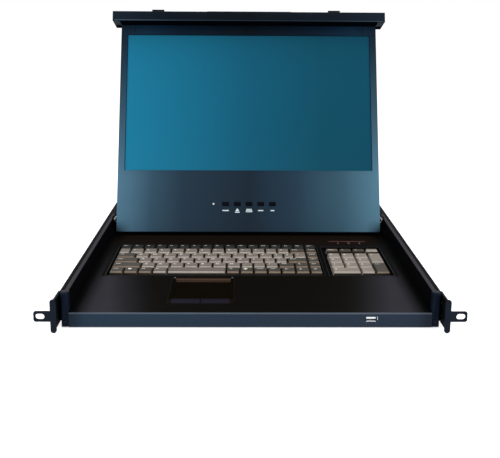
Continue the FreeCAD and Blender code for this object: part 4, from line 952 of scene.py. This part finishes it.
for node in ("touchpad_frame", "touchpad_button_left", "touchpad_button_right"):
    softened(node, 0.0005)
frame_low, frame_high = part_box("touchpad_frame")
pad_low, pad_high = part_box("touchpad_pad")
RIM, RIDGE_IN, RIDGE_GAP, RIDGE_DOWN, RIDGE_UP, STUD_R = 0.003, 0.0026, 0.0006, 0.0004, 0.0009, 0.0014
STUD_IN, STUD_BACK = 0.0042, 0.0022
left, right, back, top = frame_low.x + RIM, frame_high.x - RIM, frame_high.y - RIM, frame_high.z
for side, x0, x1 in (("left", left + RIDGE_IN, pad_low.x - RIDGE_GAP),
                     ("right", pad_high.x + RIDGE_GAP, right - RIDGE_IN)):
    made(strip((x0, pad_low.y - 0.002, top - RIDGE_DOWN), (x1, pad_high.y + 0.006, top + RIDGE_UP)),
         "touchpad_ridge_" + side, "drawer", RIDGE_GREY, "touch_grey")
bm = strip((pad_low.x - 0.0004, pad_high.y - 0.0016, pad_high.z - 0.0001),
           (pad_high.x + 0.0004, pad_high.y + 0.0072, top + 0.0008), 0.0002)
for vertex in bm.verts:
    if vertex.co.y < pad_high.y and vertex.co.z > pad_high.z + 0.0004:
        vertex.co.z = pad_high.z + 0.0002
made(bm, "touchpad_lip", "drawer", BEVEL_SHEEN, "touch_grey")
bm = bmesh.new()
for x in (left + STUD_IN, right - STUD_IN):
    bmesh.ops.create_uvsphere(bm, u_segments=16, v_segments=8, radius=STUD_R,
                              matrix=Matrix.Translation((x, back - STUD_BACK, top))
                              @ Matrix.Diagonal((1, 1, 0.5, 1)))
made(bm, "touchpad_studs", "drawer", STUD_HIGHLIGHT, "touch_grey", smooth=80)
print("touchpad top", round(top, 4), "pad", [round(v, 4) for v in pad_low])

# %% [markdown]
# ## Marks on the display
# Below each setting button is a white mark. The marks are plain shapes laid a
# hair's breadth in front of the paint: short bars, a triangle over a bar, and
# three bars that widen downwards.

# %% Button marks
marks = bmesh.new()
button_x = [sum(corner.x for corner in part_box(f"osd_button_{i}")) / 2 for i in range(1, 6)]
MARK_UP, MARK_OUT = 0.0326, -0.00006
FLAT = Matrix.Rotation(math.radians(90), 4, "X")


def on_face(x, up):
    """A place on the display's face for a mark drawn flat on the floor plane."""
    return DISPLAY @ Matrix.Translation((x, MARK_OUT, up)) @ FLAT


for i, up, half, thick in ((0, 0, 0.0048, 0.00085), (3, 0, 0.0040, 0.00085), (4, 0, 0.0028, 0.00085),
                           (1, -0.0026, 0.0036, 0.0007), (2, 0.0018, 0.0042, 0.0006),
                           (2, 0, 0.0046, 0.0006), (2, -0.0018, 0.0050, 0.0006)):
    sheet(marks, on_face(button_x[i], MARK_UP + up), half, thick)
bmesh.ops.create_circle(marks, cap_ends=True, segments=3, radius=0.0034,
                        matrix=on_face(button_x[1], MARK_UP + 0.0004) @ Matrix.Diagonal((1.1, 0.9, 1, 1)))
made(marks, "button_marks", "lcd", INK_COOL, "bezel_blue")
for i in range(1, 6):
    softened(f"osd_button_{i}", 0.0005)
print("marks under", [round(x, 4) for x in button_x])

# %% [markdown]
# ## Lock lights
# Three clear light guides stand behind the number pad, with a thin printed
# line behind them and a small sign beside each: a one for the number lock, a
# letter for the capitals lock and an arrow for the scroll lock.

# %% Lock light marks
light_y = sum(corner.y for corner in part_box("light_lenses")) / 2
deck_top = DECK_HIGH.z + 0.00005
SIGN, LINE_X, LINE_HALF, LINE_THICK = 0.0074, 0.1459, 0.0275, 0.0011
lights = bmesh.new()
for x, sign in ((0.1319, "1"), (0.1474, "A"), (0.1630, "↓")):
    write(lights, sign, SIGN, Matrix.Translation((x - 0.0019, light_y + 0.0035, deck_top)))
sheet(lights, Matrix.Translation((LINE_X, light_y + 0.0105, deck_top)), LINE_HALF, LINE_THICK)
made(lights, "lock_light_marks", "drawer", INK_RED, "deck_black")
print("lock lights at y", round(light_y, 4))

# %% [markdown]
# ## The edge of the keyboard opening
# The deck's sheet is turned down round each opening, so a fine steel-grey
# line runs round the keys. It is four slim bars for each opening. Beside the
# keys the deck's paint is darkened, where the caps shade it.

# %% Turned edges
caps_low, caps_high = span([c[1] for c in CAPS] + [c[2] for c in CAPS])
base_low, base_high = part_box("keyboard_base")
# How far both openings and the shade reach past the caps, at the left and at the right.
MAIN_PAST, PAD_PAST, SHADE_PAST = (0.0062, 0.0043), (0.0072, 0.0072), (0.0105, 0.0115)
main_right = max(c[2].x for c in CAPS if c[1].x < pad_left) + MAIN_PAST[1]
pad_first = min(c[1].x for c in CAPS if c[1].x > pad_left) - PAD_PAST[0]
openings = ((caps_low.x - MAIN_PAST[0], main_right), (pad_first, caps_high.x + PAD_PAST[1]))
x, y, z = DECK_BLACK.place()
beside = ((x < caps_low.x) * (x > caps_low.x - SHADE_PAST[0])
          + (x > caps_high.x) * (x < caps_high.x + SHADE_PAST[1]))
DECK_BLACK.set(base_color=DECK_BLACK.mix(beside * (y > base_low.y) * (y < base_high.y), deck_tone, "040403"))
EDGE_WIDE, EDGE_UP, EDGE_DOWN, EDGE_IN = 0.0008, 0.00005, 0.00125, 0.002
bm = bmesh.new()
for x0, x1 in openings:
    y0, y1 = base_low.y + EDGE_IN, base_high.y - EDGE_IN
    for low, high in (((x0, y0), (x0 + EDGE_WIDE, y1)), ((x1 - EDGE_WIDE, y0), (x1, y1)),
                      ((x0, y0), (x1, y0 + EDGE_WIDE)), ((x0, y1 - EDGE_WIDE), (x1, y1))):
        block(bm, (*low, DECK_HIGH.z - EDGE_DOWN), (*high, DECK_HIGH.z + EDGE_UP))
made(bm, "opening_edges", "drawer", LIP_STEEL, "deck_black")
print("openings", [[round(v, 4) for v in o] for o in openings])

# %% [markdown]
# ## The front socket
# The shell of the USB socket is bright above and below its mouth and dark at
# the sides, and its lower lip is a slim bar. Beside it in the front bar is
# one short upright stroke.

# %% Socket lip and mark
usb_low, usb_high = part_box("usb_port")
usb_x, bar_front = (usb_low.x + usb_high.x) / 2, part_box("front_bar")[0].y
STROKE_X, STROKE_Z, MOUTH_HALF, LIP_HALF, LIP_LOW, LIP_HIGH = 0.1441, -0.0092, 0.0057, 0.0052, -0.0130, -0.0119
bm = bmesh.new()
sheet(bm, Matrix.Translation((STROKE_X, bar_front - 0.00005, STROKE_Z)) @ FLAT, 0.0003, 0.0019)
made(bm, "socket_mark", "drawer", INK_COOL, "front_navy")
x, y, z = SOCKET_METAL.place()
at_mouth = (y < usb_low.y + 0.0012) * (x > usb_low.x) * (x < usb_high.x)
sides = ((x - usb_x).size() > MOUTH_HALF) * at_mouth
SOCKET_METAL.set(base_color=SOCKET_METAL.mix(sides, SOCKET_METAL.tone, "1a222e"))
bm = strip((usb_x - LIP_HALF, usb_low.y + 0.0003, LIP_LOW),
           (usb_x + LIP_HALF, usb_low.y + 0.0022, LIP_HIGH), 0.0002)
made(bm, "socket_lip", "drawer", PORT_METAL, "socket_metal")
print("socket", [round(v, 4) for v in usb_low], [round(v, 4) for v in usb_high])

# %% [markdown]
# ## The handle bar's lower edge
# The bar's front face ends below in a narrow edge, which shows as a light
# line, brighter at the left: a painted highlight, carried by a slim strip that
# follows the edge along the display.

# %% Painted highlight on the handle bar's lower edge
edge_highlight_stops = [(0.0, "4a5e6e"), (0.08, "44576a"), (0.25, "293c48"), (0.5, "1a2731"),
              (0.8, "22313c"), (1.0, "384c58")]
EDGE_HIGHLIGHT = blue_paint("edge_highlight", edge_highlight_stops, 0.25, 0.08)
bm = strip((bar_low.x + 0.001, bar_low.y - 0.00008, bar_low.z + 0.0008),
           (bar_high.x - 0.001, bar_low.y + 0.0004, bar_low.z + 0.0016), 0.0001)
bm.transform(DISPLAY)
made(bm, "bar_edge_highlight", "lcd", EDGE_HIGHLIGHT, "bar_navy")
print("bar edge at", round(bar_low.z, 4))

# %% [markdown]
# ## The size when dressed
# The new pieces add nothing to the outside, so the dressed object has the same
# box as the solids. Both boxes are printed.

# %% Print the dressed box
bpy.context.view_layer.update()
low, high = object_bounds()
print("dressed box", [round(v, 4) for v in low], [round(v, 4) for v in high])
